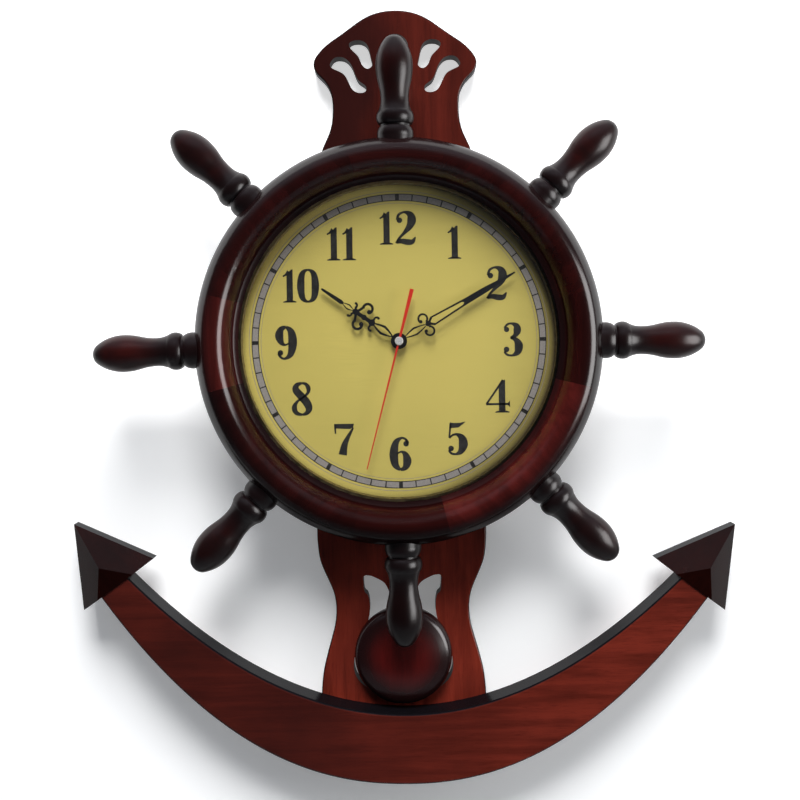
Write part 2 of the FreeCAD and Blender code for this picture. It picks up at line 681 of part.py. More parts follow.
def dowel_set(side, gap):
    """The two dowels that join a fluke to the band, or their holes with a gap round them."""
    barb_up, barb_down = fluke_corners()[1:]
    a = math.radians(FLUKE_TURN)
    way = V(side * math.cos(a), 0, math.sin(a))
    dowels = []
    for shift in (-DOWEL_SPREAD / 2, DOWEL_SPREAD / 2):
        share = 0.5 + shift / FLUKE_SIDE
        x = barb_up[0] + (barb_down[0] - barb_up[0]) * share
        height = barb_up[1] + (barb_down[1] - barb_up[1]) * share
        middle = place(side * x, BOARD_THICK + FLUKE_EDGE / 2 + DOWEL_RADIUS / 2, height)
        start = middle - way * (DOWEL_LENGTH / 2 + gap)
        dowels.append(Part.makeCylinder(DOWEL_RADIUS + gap, DOWEL_LENGTH + 2 * gap, start, way))
    return dowels


def make_fluke(side):
    """A three sided slab under three planes that climb to one point, blunt at the rear."""
    tip, up, down = fluke_corners()
    centre = (FLUKE_REACH, FLUKE_HEIGHT)
    inradius = FLUKE_SIDE / (2 * math.sqrt(3))
    slope = (FLUKE_PEAK - FLUKE_EDGE) / inradius
    share = REAR_FACET_SHARE
    rear_rise = FLUKE_EDGE + slope * share * FLUKE_SIDE * math.sin(math.radians(60))

    def on_rear(part_share):
        return (up[0] + (down[0] - up[0]) * part_share, up[1] + (down[1] - up[1]) * part_share)

    def point(spot, rise):
        return place(side * spot[0], BOARD_THICK + rise, spot[1])

    base = [point(s, 0) for s in (tip, up, down)]
    rim = [point(s, FLUKE_EDGE) for s in (tip, up, down)]
    near = point(on_rear(share), rear_rise)
    far = point(on_rear(1 - share), rear_rise)
    peak = point(centre, FLUKE_PEAK)
    outlines = [
        base,
        [base[0], base[1], rim[1], rim[0]],
        [base[0], base[2], rim[2], rim[0]],
        [base[1], base[2], rim[2], far, near, rim[1]],
        [rim[0], rim[1], near, peak],
        [rim[0], rim[2], far, peak],
        [near, far, peak],
    ]
    faces = [Part.Face(Part.makePolygon(o + o[:1])) for o in outlines]
    solid = Part.Solid(Part.Shell(faces))
    if solid.Volume < 0:
        solid.reverse()
    return leaned(solid.cut(dowel_set(side, GLUE_GAP)))


# Wheel rim, glued up from four short and four long blocks
def rim_profile():
    middle = RIM_RADIUS - TORUS_WIDTH / 2
    nose_out = RIM_FRONT - TORUS_NOSE
    centre = place(middle, nose_out, 0)
    outward = V(TORUS_WIDTH / 2, 0, 0)
    forward = V(0, -TORUS_NOSE, 0)
    outside = oval_quarter(centre, outward, forward, TORUS_SIDE_RADIUS)
    inside = oval_quarter(centre, outward * -1, forward, TORUS_SIDE_RADIUS)
    meet = inside[0].Vertexes[-1].Point
    # the inner side stops short, at the step down to the lip
    arc_middle = middle - TORUS_WIDTH / 2 + TORUS_SIDE_RADIUS
    step_out = nose_out + math.sqrt(TORUS_SIDE_RADIUS ** 2 - (arc_middle - STEP_RADIUS) ** 2)
    step = place(STEP_RADIUS, step_out, 0)
    nose_middle = place(arc_middle, nose_out, 0)
    inner_side = round_edge(nose_middle, TORUS_SIDE_RADIUS, meet, step)
    corner = RIM_BACK_ROUND * (1 - math.sqrt(0.5))
    back = place(RIM_RADIUS - RIM_BACK_ROUND, RIM_BACK, 0)
    side = place(RIM_RADIUS, RIM_BACK + RIM_BACK_ROUND, 0)
    bead = [place(STEP_RADIUS - LIP_EDGE, step_out, 0),
            place(LIP_RADIUS + LIP_EDGE, step_out - LIP_EDGE, 0),
            place(LIP_RADIUS, GLASS_OUT + LIP_EDGE, 0)]
    edges = [arc(back, place(RIM_RADIUS - corner, RIM_BACK + corner, 0), side)]
    edges += lines([side, centre + outward]) + outside + [inside[1], inner_side]
    edges += lines([step, bead[0]]) + [arc(*bead)]
    edges += lines([
        bead[-1], place(LIP_RADIUS, GLASS_OUT, 0), place(RABBET_RADIUS, GLASS_OUT, 0),
        place(RABBET_RADIUS, RIM_BACK, 0), back,
    ])
    return edges


def handle_angle(index):
    return 360 / HANDLE_COUNT * index + HANDLE_LEANS[index]


def radial(radius, near, far, degrees):
    """A round bar along a handle's axis, between two distances from the dial centre."""
    a = math.radians(degrees)
    way = V(math.cos(a), 0, math.sin(a))
    return Part.makeCylinder(radius, far - near, place(0, HANDLE_OUT, 0) + way * near, way)


def make_rim_block(index):
    """Short blocks sit on the upright and level axes, long ones on the slants."""
    eighth = 360 / HANDLE_COUNT
    angle = SHORT_BLOCK_ANGLE if index % 2 == 0 else 2 * eighth - SHORT_BLOCK_ANGLE
    block = turned(rim_profile(), angle)
    block = spun(block, -(eighth * index - angle / 2))
    holes = []
    for i in (index, (index + 1) % HANDLE_COUNT, index - 1):
        holes.append(radial(HANDLE_FOOT_RADIUS + GLUE_GAP, HANDLE_SEAT,
                            RIM_RADIUS + OVERRUN, handle_angle(i)))
        holes.append(radial(TENON_RADIUS + GLUE_GAP, HANDLE_SEAT - TENON_LENGTH - GLUE_GAP,
                            HANDLE_SEAT + OVERRUN, handle_angle(i)))
    holes += [screw_hole(*rim_screw(x, h)) for x, h in SPACER_SPOTS]
    return block.cut(holes)


# Spoke handles
def make_handle(index):
    length = HANDLE_TIP - HANDLE_SEAT

    def spot(share):
        return V(HANDLE_TIP - share[0] * length, 0, share[1] * HANDLE_RADIUS)

    tip = V(HANDLE_TIP, 0, 0)
    widest = spot(GRIP_SWELL_SHARES)
    waist = spot(GRIP_WAIST_SHARES)
    flare = [spot(s) for s in GRIP_FLARE_SHARES]
    bead = [spot(s) for s in BEAD_SHARES]
    neck = [spot(s) for s in NECK_SHARES]
    foot = [spot(s) for s in FOOT_SHARES]
    seat = V(HANDLE_SEAT, 0, HANDLE_FOOT_RADIUS)
    end = HANDLE_SEAT - TENON_LENGTH
    middle = V(widest.x, 0, 0)
    edges = oval_quarter(middle, tip - middle, widest - middle, HANDLE_TIP_RADIUS)
    edges += swell(widest, waist, V(-1, 0, 0))
    edges += [arc(waist, *flare), arc(*bead)]
    edges += lines([bead[-1], neck[0], neck[1], foot[0]])
    edges.append(arc(*foot))
    edges += lines([foot[-1], seat, V(HANDLE_SEAT, 0, TENON_RADIUS), V(end, 0, TENON_RADIUS),
                    V(end, 0, 0), V(HANDLE_TIP, 0, 0)])
    handle = Part.Face(Part.Wire(edges)).revolve(V(0, 0, 0), V(1, 0, 0), 360)
    handle.rotate(V(0, 0, 0), V(0, 1, 0), -handle_angle(index))
    handle.translate(place(0, HANDLE_OUT, 0))
    return handle


# Glazing and dial
def make_glass():
    return rod(GLASS_RADIUS, GLASS_OUT - GLASS_THICK, GLASS_OUT)


def make_spacer_ring():
    return tube(GLASS_RADIUS, DIAL_WELL_RADIUS, DIAL_OUT, GLASS_OUT - GLASS_THICK)


def make_dial_plate():
    return tube(GLASS_RADIUS, BUSH_RADIUS + GLUE_GAP, BACKING_OUT, DIAL_OUT)


def make_dial_backing():
    return tube(GLASS_RADIUS, BUSH_RADIUS + GLUE_GAP, CASE_FRONT, BACKING_OUT)


def make_dial_retainers():
    """Four glued blocks in the rabbet hold the backing, the dial and the glass."""
    outer = RABBET_RADIUS - GLUE_GAP
    inner = outer - RETAINER_WIDTH
    ring = [place(inner, RIM_BACK, 0), place(outer, RIM_BACK, 0),
            place(outer, CASE_FRONT, 0), place(inner, CASE_FRONT, 0)]
    block = turned(lines(ring + ring[:1]), RETAINER_ANGLE)
    return group([spun(block, quarter * 90 + RETAINER_ANGLE / 2) for quarter in range(4)])


# Movement case
def case_block(inset, out0, out1, corner):
    half = CASE_WIDTH / 2 - inset
    return rounded_box(-half, half, out0, out1, CASE_FOOT + inset, CASE_TOP - inset, corner)


POST_SPOTS = [(sx * POST_REACH, sz * MOTION_REACH) for sx in (-1, 1) for sz in (-1, 1)]
CIRCUIT_POSTS = [
    (s * (CIRCUIT_WIDTH / 2 - POST_RADIUS - CASE_WALL), CIRCUIT_LOW + CIRCUIT_HEIGHT / 2)
    for s in (-1, 1)
]


def make_movement_front():
    """The front shell, with the threaded bush and the posts that carry the train."""
    shell = case_block(0, CAVITY_BACK, CASE_FRONT, CASE_ROUND)
    corner = CASE_ROUND - CASE_WALL
    shell = shell.cut(case_block(CASE_WALL, CAVITY_BACK - OVERRUN, CAVITY_FRONT, corner))
    parts = [rod(BUSH_RADIUS, CAVITY_FRONT, CASE_FRONT + BUSH_LENGTH)]
    parts += [rod(POST_RADIUS, PLATE_OUT + PLATE_THICK, CASE_FRONT, x, h) for x, h in POST_SPOTS]
    parts += [rod(POST_RADIUS, CIRCUIT_OUT + CIRCUIT_THICK, CASE_FRONT, x, h) for x, h in CIRCUIT_POSTS]
    parts.append(rod(MOTION_POST_RADIUS, MOTION_WHEEL_OUT, CASE_FRONT, -MOTION_REACH, 0))
    third_post = MINUTE_WHEEL_OUT + WHEEL_THICK + 2 * WHEEL_STEP
    parts.append(rod(POST_RADIUS, third_post, CASE_FRONT, THIRD_REACH, 0))
    shell = shell.fuse(parts)
    bush_front = CASE_FRONT + BUSH_LENGTH
    cuts = [
        rod(HOUR_TUBE_RADIUS + RUN_GAP, CAVITY_FRONT - OVERRUN, bush_front + OVERRUN),
        rod(ARBOR_RADIUS + RUN_GAP, CAVITY_BACK, THIRD_ARBOR_END + WHEEL_STEP, THIRD_REACH, 0),
    ]
    return shell.cut(cuts).removeSplitter()


def make_movement_cover():
    """The rear cover, open over the battery, with holes for the knob and the pendulum pin."""
    cover = case_block(0, CASE_BACK, CAVITY_BACK, CASE_ROUND)
    half = BATTERY_LENGTH / 2 + BATTERY_NUB
    cuts = [
        box(-half, half, CASE_BACK - OVERRUN, CAVITY_BACK + OVERRUN,
            BATTERY_RISE - BATTERY_RADIUS, BATTERY_RISE + BATTERY_RADIUS),
        rod(KNOB_ARBOR_RADIUS + RUN_GAP, CASE_BACK - OVERRUN, CAVITY_BACK + OVERRUN,
            -2 * MOTION_REACH, 0),
        rod(PIVOT_RADIUS + PUSH_GAP, CASE_BACK - OVERRUN, CAVITY_BACK + OVERRUN, 0, -PIVOT_DROP),
    ]
    return cover.cut(cuts)


# Gears
def gear(teeth, module, out0, out1, x, height, phase):
    """A wheel whose tooth points at this phase, degrees clockwise from twelve."""
    pitch = math.pi * module
    tip = module * (teeth / 2 + TOOTH_TIP_SHARE)
    root = module * (teeth / 2 - TOOTH_ROOT_SHARE)
    points = []
    for i in range(teeth):
        for radius, half_share in ((root, -ROOT_HALF_SHARE), (tip, -TIP_HALF_SHARE),
                                   (tip, TIP_HALF_SHARE), (root, ROOT_HALF_SHARE)):
            a = math.radians(phase + 360 * i / teeth) + half_share * pitch / radius
            points.append(place(x + radius * math.sin(a), out0, height + radius * math.cos(a)))
    return slab(lines(points + points[:1]), out0, out1)



def make_cannon():
    """The minute wheel, its pinion and the tube that carries the minute hand."""
    top = MINUTE_HAND_OUT + HAND_THICK
    wheel = gear(MINUTE_TEETH, MINUTE_MODULE, MINUTE_WHEEL_OUT,
                 MINUTE_WHEEL_OUT + WHEEL_THICK, 0, 0, RIGHT)
    pinion = gear(CANNON_TEETH, CANNON_MODULE, MINUTE_WHEEL_OUT + WHEEL_THICK,
                  MOTION_WHEEL_OUT + WHEEL_THICK + WHEEL_STEP, 0, 0, LEFT)
    barrel = rod(MINUTE_TUBE_RADIUS, MINUTE_WHEEL_OUT, top)
    bore = rod(ARBOR_RADIUS + RUN_GAP, MINUTE_WHEEL_OUT - OVERRUN, top + OVERRUN)
    return wheel.fuse([pinion, barrel]).cut(bore).removeSplitter()


def make_hour_wheel():
    top = HOUR_HAND_OUT + HAND_THICK
    phase = LEFT + 180 / HOUR_TEETH
    wheel = gear(HOUR_TEETH, HOUR_MODULE, HOUR_WHEEL_OUT,
                 HOUR_WHEEL_OUT + WHEEL_THICK, 0, 0, phase)
    barrel = rod(HOUR_TUBE_RADIUS, HOUR_WHEEL_OUT, top)
    bore = rod(MINUTE_TUBE_RADIUS + RUN_GAP, HOUR_WHEEL_OUT - OVERRUN, top + OVERRUN)
    return wheel.fuse(barrel).cut(bore).removeSplitter()


def make_motion_wheel():
    """Meshes with the cannon's pinion, and its own pinion drives the hour wheel."""
    x = -MOTION_REACH
    back = MOTION_WHEEL_OUT
    phase = RIGHT + 180 / MOTION_TEETH
    wheel = gear(MOTION_TEETH, CANNON_MODULE, back, back + WHEEL_THICK, x, 0, phase)
    pinion = gear(MOTION_PINION_TEETH, HOUR_MODULE, back + WHEEL_THICK, HOUR_WHEEL_OUT + WHEEL_THICK,
                  x, 0, RIGHT)
    bore = rod(MOTION_POST_RADIUS + RUN_GAP, back - OVERRUN, CASE_FRONT, x, 0)
    return wheel.fuse(pinion).cut(bore).removeSplitter()


def make_setting_knob():
    """A fluted knob at the back whose arbor turns the motion wheel."""
    x = -2 * MOTION_REACH
    front = CASE_BACK - 2 * SEAT_GAP
    back = front - KNOB_THICK
    disc = rod(KNOB_RADIUS, back, front, x, 0)
    flutes = []
    for i in range(KNOB_FLUTES):
        a = 2 * math.pi * i / KNOB_FLUTES
        flutes.append(rod(KNOB_FLUTE_RADIUS, back - OVERRUN, front + OVERRUN,
                          x + KNOB_RADIUS * math.cos(a), KNOB_RADIUS * math.sin(a)))
    arbor = rod(KNOB_ARBOR_RADIUS, front, CAVITY_FRONT - WHEEL_STEP, x, 0)
    pinion = gear(KNOB_TEETH, CANNON_MODULE, MOTION_WHEEL_OUT - WHEEL_STEP,
                  MOTION_WHEEL_OUT + WHEEL_THICK + WHEEL_STEP, x, 0, RIGHT)
    return disc.cut(flutes).fuse([arbor, pinion]).removeSplitter()


def make_third_wheel():
    """Steps the minute wheel's turn up towards the seconds pinion."""
    x = THIRD_REACH
    phase = LEFT + 180 / THIRD_TEETH
    wheel = gear(THIRD_TEETH, THIRD_MODULE, THIRD_WHEEL_OUT,
                 THIRD_WHEEL_OUT + WHEEL_THICK, x, 0, phase)
    pinion = gear(THIRD_PINION_TEETH, MINUTE_MODULE, THIRD_WHEEL_OUT + WHEEL_THICK,
                  MINUTE_WHEEL_OUT + WHEEL_THICK + WHEEL_STEP, x, 0, LEFT + 180 / THIRD_PINION_TEETH)
    arbor = rod(ARBOR_RADIUS, PLATE_OUT, THIRD_ARBOR_END, x, 0)
    return wheel.fuse([pinion, arbor]).removeSplitter()


def make_second_arbor():
    pinion = gear(SECOND_PINION_TEETH, THIRD_MODULE, THIRD_WHEEL_OUT - WHEEL_STEP,
                  THIRD_WHEEL_OUT + WHEEL_THICK + WHEEL_STEP, 0, 0, RIGHT)
    arbor = rod(ARBOR_RADIUS, PLATE_OUT, SECOND_HAND_OUT + HAND_THICK + CAP_THICK / 2)
    return pinion.fuse(arbor).removeSplitter()


def make_train_plate():
    """Carries the rear pivots, on four posts of the front shell."""
    half = POST_SPOTS[-1][0] + POST_RADIUS
    high = POST_SPOTS[-1][1] + POST_RADIUS
    plate = box(-half, half, PLATE_OUT, PLATE_OUT + PLATE_THICK, -high, high)
    cuts = [rod(ARBOR_RADIUS + RUN_GAP, PLATE_OUT - OVERRUN, PLATE_OUT + PLATE_THICK + OVERRUN, x, 0)
            for x in (0, THIRD_REACH)]
    cuts.append(rod(KNOB_ARBOR_RADIUS + RUN_GAP, PLATE_OUT - OVERRUN,
                    PLATE_OUT + PLATE_THICK + OVERRUN, -2 * MOTION_REACH, 0))
    return plate.cut(cuts)


# Battery, motor and circuit
def make_battery():
    half = BATTERY_LENGTH / 2
    body = Part.makeCylinder(BATTERY_RADIUS, BATTERY_LENGTH - BATTERY_NUB,
                             place(-half, BATTERY_OUT, BATTERY_RISE), V(1, 0, 0))
    nub = Part.makeCylinder(BATTERY_NUB_RADIUS, BATTERY_NUB,
                            place(half - BATTERY_NUB, BATTERY_OUT, BATTERY_RISE), V(1, 0, 0))
    return body.fuse(nub)


def make_battery_contacts():
    half = BATTERY_LENGTH / 2
    side = CONTACT_SIDE / 2
    springs = []
    for x0 in (-half - CONTACT_THICK, half):
        springs.append(box(x0, x0 + CONTACT_THICK, BATTERY_OUT - side, BATTERY_OUT + side,
                           BATTERY_RISE - side, BATTERY_RISE + side))
    return group(springs)


def make_motor_stator():
    """A flat iron frame: the coil sits on its foot, and the rotor's well is in its head."""
    foot = -COIL_DROP - STATOR_LEG / 2
    frame = box(-STATOR_HALF, STATOR_HALF, STATOR_OUT, PLATE_OUT, foot, -ROTOR_WELL_RADIUS / 2)
    hole = box(-STATOR_HALF + STATOR_LEG, STATOR_HALF - STATOR_LEG, STATOR_OUT - OVERRUN,
               PLATE_OUT + OVERRUN, foot + STATOR_LEG, -ROTOR_WELL_RADIUS / 2 - 3 * STATOR_LEG)
    well = rod(ROTOR_WELL_RADIUS, STATOR_OUT - CASE_WALL, STATOR_OUT, 0,
               -ROTOR_WELL_RADIUS / 2 - 3 * STATOR_LEG / 2)
    return frame.cut(hole).fuse(well).removeSplitter()


def make_motor_coil():
    middle = (STATOR_OUT + PLATE_OUT) / 2
    coil = Part.makeCylinder(COIL_RADIUS, COIL_LENGTH,
                             place(-COIL_LENGTH / 2, middle, -COIL_DROP), V(1, 0, 0))
    leg = box(-COIL_LENGTH, COIL_LENGTH, STATOR_OUT - GLUE_GAP, PLATE_OUT + GLUE_GAP,
              -COIL_DROP - STATOR_LEG / 2 - GLUE_GAP, -COIL_DROP + STATOR_LEG / 2 + GLUE_GAP)
    return coil.cut(leg)


def make_circuit_board():
    half = CIRCUIT_WIDTH / 2
    return box(-half, half, CIRCUIT_OUT, CIRCUIT_OUT + CIRCUIT_THICK,
               CIRCUIT_LOW, CIRCUIT_LOW + CIRCUIT_HEIGHT)


def make_drive_coil():
    back = CIRCUIT_OUT - DRIVE_COIL_THICK
    return tube(DRIVE_COIL_RADIUS, DRIVE_COIL_BORE, back, CIRCUIT_OUT, 0, -MAGNET_DROP)


def make_fixing_washer():
    return tube(WASHER_RADIUS, BUSH_RADIUS + GLUE_GAP, DIAL_OUT, DIAL_OUT + WASHER_THICK)


def make_fixing_nut():
    back = DIAL_OUT + WASHER_THICK
    points = []
    for i in range(6):
        a = math.radians(60 * i)
        corner = NUT_FLATS / math.sqrt(3)
        points.append(place(corner * math.sin(a), back, corner * math.cos(a)))
    nut = slab(lines(points + points[:1]), back, back + NUT_THICK)
    return nut.cut(rod(BUSH_RADIUS + PUSH_GAP, back - OVERRUN, back + NUT_THICK + OVERRUN))


# Hands, drawn upright and then turned to their places
def bulged(a, b):
    """A slightly bulging edge from one point to the next."""
    middle = (a + b) / 2 + V((a.x + b.x) * BLADE_BULGE_SHARE, 0, 0)
    return arc(a, middle, b)


def blade(low, high, half, out0, out1):
    """A pointed leaf between two distances from the axis."""
    middle = place(half, out0, (low + high) / 2)
    side = [bulged(place(0, out0, low), middle), bulged(middle, place(0, out0, high))]
    return slab(side + mirrored(side), out0, out1)


def half_plate(shares, length, out0, out1):
    """A straight sided plate, from half its outline."""
    right = [place(x * length, out0, rise * length) for x, rise in shares]
    left = [V(-p.x, p.y, p.z) for p in reversed(right)]
    return slab(lines(right + left + right[:1]), out0, out1)


def hook(shares, angles, length, out0, out1):
    """A curl to the right: a bar off the stem, an arc and the ball at its end."""
    aside, rise, radius, root, stroke, ball = (share * length for share in shares)
    start, end = angles

    def spot(reach, degrees):
        a = math.radians(degrees)
        return place(aside + reach * math.cos(a), out0, rise + reach * math.sin(a))

    far = [spot(radius + stroke / 2, a) for a in (start, (start + end) / 2, end)]
    near = [spot(radius - stroke / 2, a) for a in (start, (start + end) / 2, end)]
    edges = [arc(*far), arc(*near)] + lines([far[0], near[0]]) + lines([far[2], near[2]])
    bend = slab(edges, out0, out1)
    stem = place(0, out0, root)
    way = (spot(radius, start) - stem).normalize()
    across = V(-way.z, 0, way.x) * (stroke / 2)
    tip = spot(radius, start) + way * (stroke / 2)
    bar = slab(lines([stem - across, tip - across, tip + across, stem + across, stem - across]),
               out0, out1)
    middle = spot(radius - ball + stroke / 2, end)
    return bend.fuse([bar, rod(ball, out0, out1, middle.x, middle.z - DIAL_Z)])


def pierced_hand(back, length, hub, bore, loops, knots, hooks, angles, plates):
    """A hand of pointed loops, round knots, paired hooks and plates, on its hub."""
    front = back + HAND_THICK
    pieces = list(plates)
    for low, high, half, stroke in loops:
        hole = blade((low + stroke) * length, (high - stroke) * length, (half - stroke) * length,
                     back - OVERRUN, front + OVERRUN)
        pieces.append(blade(low * length, high * length, half * length, back, front).cut(hole))
    for rise, radius in knots:
        pieces.append(rod(radius * length, back, front, 0, rise * length))
    for shares, pair in zip(hooks, angles):
        curl = hook(shares, pair, length, back, front)
        pieces += [curl, curl.mirror(V(0, 0, 0), V(1, 0, 0))]
    hand = rod(hub, back, front).fuse(pieces)
    return hand.cut(rod(bore, back - OVERRUN, front + OVERRUN)).removeSplitter()


def make_hour_hand():
    back, front = HOUR_HAND_OUT, HOUR_HAND_OUT + HAND_THICK
    plates = [half_plate(shares, HOUR_LENGTH, back, front)
              for shares in (HOUR_STEM_SHARES, HOUR_SPEAR_SHARES)]
    hand = pierced_hand(
        back, HOUR_LENGTH, HOUR_HUB_RADIUS, HOUR_TUBE_RADIUS + PUSH_GAP, HOUR_LOOP_SHARES,
        HOUR_KNOT_SHARES, HOUR_HOOK_SHARES, HOUR_HOOK_ANGLES, plates,
    )
    return spun(hand, HOUR_ANGLE)


def make_minute_hand():
    back, front = MINUTE_HAND_OUT, MINUTE_HAND_OUT + HAND_THICK
    fork = half_plate(FORK_SHARES, MINUTE_LENGTH, back, front)
    fork = fork.cut(half_plate(FORK_GAP_SHARES, MINUTE_LENGTH, back - OVERRUN, front + OVERRUN))
    plates = [fork, half_plate(MINUTE_SPEAR_SHARES, MINUTE_LENGTH, back, front)]
    hand = pierced_hand(
        back, MINUTE_LENGTH, MINUTE_HUB_RADIUS, MINUTE_TUBE_RADIUS + PUSH_GAP, MINUTE_LOOP_SHARES,
        MINUTE_KNOT_SHARES, MINUTE_HOOK_SHARES, MINUTE_HOOK_ANGLES, plates,
    )
    return spun(hand, MINUTE_ANGLE)


def make_second_hand():
    back = SECOND_HAND_OUT
    points = [
        place(-TAIL_HALF, back, -SECOND_TAIL), place(-NEEDLE_HALF, back, 0),
        place(-NEEDLE_TIP_HALF, back, SECOND_LENGTH), place(NEEDLE_TIP_HALF, back, SECOND_LENGTH),
        place(NEEDLE_HALF, back, 0), place(TAIL_HALF, back, -SECOND_TAIL),
    ]
    hand = slab(lines(points + points[:1]), back, back + HAND_THICK)
    hand = hand.fuse(rod(SECOND_HUB_RADIUS, back, back + HAND_THICK))
    hand = hand.cut(rod(ARBOR_RADIUS + PUSH_GAP, back - OVERRUN, back + OVERRUN))
    return spun(hand.removeSplitter(), SECOND_ANGLE)


def make_second_cap():
    """The bright pressed cap that closes the end of the seconds arbor."""
    back = SECOND_HAND_OUT + HAND_THICK
    cap = rod(CAP_RADIUS, back, back + CAP_THICK)
    rim_edges = front_edges(cap, back + CAP_THICK, lambda e: e.Length > CAP_RADIUS)
    cap = cap.makeFillet(CAP_THICK / 2, rim_edges)
    return cap.cut(rod(ARBOR_RADIUS + PUSH_GAP, back - OVERRUN, back + CAP_THICK / 2))


# Pendulum
def make_pivot_pin():
    """A headed pin pressed into the rear cover, on which the pendulum's arm hangs."""
    pin = rod(PIVOT_RADIUS, ARM_BACK - SEAT_GAP, CAVITY_BACK, 0, -PIVOT_DROP)
    head = rod(PIVOT_HEAD_RADIUS, ARM_BACK - SEAT_GAP - PIVOT_HEAD_THICK, ARM_BACK - SEAT_GAP,
               0, -PIVOT_DROP)
    return pin.fuse(head).removeSplitter()


def make_pendulum_arm():
    """A moulded arm: an eye for the pin, a boss round the magnet and a socket for the rod."""
    foot = -PIVOT_DROP - ARM_LENGTH
    parts = [rod(ARM_BOSS_RADIUS, ARM_BACK, ARM_FRONT, 0, -MAGNET_DROP)]
    parts.append(box(-ARM_SOCKET_HALF, ARM_SOCKET_HALF, ARM_BACK, ARM_FRONT, foot, -PIVOT_DROP))
    arm = rod(ARM_EYE_RADIUS, ARM_BACK, ARM_FRONT, 0, -PIVOT_DROP).fuse(parts)
    cuts = [
        rod(PIVOT_RADIUS + RUN_GAP, ARM_BACK - OVERRUN, ARM_FRONT + OVERRUN, 0, -PIVOT_DROP),
        rod(MAGNET_RADIUS + PUSH_GAP, ARM_FRONT - MAGNET_THICK, ARM_FRONT + OVERRUN, 0, -MAGNET_DROP),
        Part.makeCylinder(ROD_RADIUS + PUSH_GAP, ARM_SOCKET_DEPTH + OVERRUN,
                          place(0, ROD_OUT, foot - OVERRUN), V(0, 0, 1)),
    ]
    return arm.cut(cuts).removeSplitter()


def make_pendulum_magnet():
    return rod(MAGNET_RADIUS, ARM_FRONT - MAGNET_THICK, ARM_FRONT, 0, -MAGNET_DROP)


def make_pendulum_rod():
    top = -PIVOT_DROP - ARM_LENGTH + ARM_SOCKET_DEPTH
    foot = -BOB_DROP - ROD_IN_BOB
    return Part.makeCylinder(ROD_RADIUS, top - foot, place(0, ROD_OUT, foot), V(0, 0, 1))


def make_pendulum_bob():
    """A domed disc, grooved behind for the rod and recessed for the clip that holds it."""
    edge_out = BOB_OUT + BOB_EDGE
    dome = V(0, BOB_EDGE - BOB_THICK, 0)
    centre = place(0, edge_out, 0)
    side = V(BOB_RADIUS, 0, 0)
    edges = oval_quarter(centre, side, dome, BOB_SHOULDER_RADIUS)
    edges += lines([centre + dome, place(0, BOB_OUT, 0), place(BOB_RADIUS, BOB_OUT, 0),
                    centre + side])
    bob = turned(edges)
    bob.translate(V(0, 0, -BOB_DROP))
    width = ROD_RADIUS + GLUE_GAP
    groove = box(-width, width, BOB_OUT - OVERRUN, ROD_OUT + width,
                 -BOB_DROP - ROD_IN_BOB - GLUE_GAP, -BOB_DROP + BOB_RADIUS + OVERRUN)
    return bob.cut([groove, clip_blank(GLUE_GAP)])


def clip_blank(gap):
    half = BOB_CLIP_WIDTH / 2 + gap
    high = BOB_CLIP_HEIGHT / 2 + gap
    return box(-half, half, BOB_OUT, BOB_OUT + BOB_CLIP_THICK, -BOB_DROP - high, -BOB_DROP + high)


PIECES = {
    "back_board": make_back_board,
    "anchor_band": make_anchor_band,
    "fluke_left": lambda: make_fluke(-1),
    "fluke_right": lambda: make_fluke(1),
    "fluke_dowels": lambda: leaned(group(dowel_set(1, 0) + dowel_set(-1, 0))),
    "hanger_plate": make_hanger_plate,
    "hanger_screws": lambda: group([wood_screw(*hanger_screw(x, h)) for x, h in HANGER_SCREW_SPOTS]),
    "spacer_blocks": make_spacer_blocks,
    "rim_screws": lambda: group([wood_screw(*rim_screw(x, h)) for x, h in SPACER_SPOTS]),
    "band_screws": lambda: group([wood_screw(*band_screw(x, h)) for x, h in BAND_SCREW_SPOTS]),
    "glass": make_glass,
    "spacer_ring": make_spacer_ring,
    "dial_plate": make_dial_plate,
    "dial_backing": make_dial_backing,
    "dial_retainers": make_dial_retainers,
    "movement_front": make_movement_front,
    "movement_cover": make_movement_cover,
    "minute_cannon": make_cannon,
    "hour_wheel": make_hour_wheel,
    "motion_wheel": make_motion_wheel,
    "setting_knob": make_setting_knob,
    "third_wheel": make_third_wheel,
    "second_arbor": make_second_arbor,
    "train_plate": make_train_plate,
    "battery": make_battery,
    "battery_contacts": make_battery_contacts,
    "motor_stator": make_motor_stator,
    "motor_coil": make_motor_coil,
    "circuit_board": make_circuit_board,
    "drive_coil": make_drive_coil,
    "fixing_washer": make_fixing_washer,
    "fixing_nut": make_fixing_nut,
    "hour_hand": make_hour_hand,
    "minute_hand": make_minute_hand,
    "second_hand": make_second_hand,
    "second_cap": make_second_cap,
    "pendulum_pin": make_pivot_pin,
    "pendulum_arm": make_pendulum_arm,
    "pendulum_magnet": make_pendulum_magnet,
    "pendulum_rod": make_pendulum_rod,
    "pendulum_bob": make_pendulum_bob,
    "bob_clip": lambda: clip_blank(0),
}
for number in range(HANDLE_COUNT):
    PIECES[f"rim_block_{number + 1}"] = lambda n=number: make_rim_block(n)
    PIECES[f"handle_{number + 1}"] = lambda n=number: make_handle(n)

os.makedirs("parts", exist_ok=True)
for name, maker in PIECES.items():
    shape = maker()
    shape.exportStep(f"parts/{name}.step")
    print(f"{name}: {len(shape.Solids)} solids, {shape.Volume / 1000:.2f} cm3, valid {shape.isValid()}")
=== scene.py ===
import math

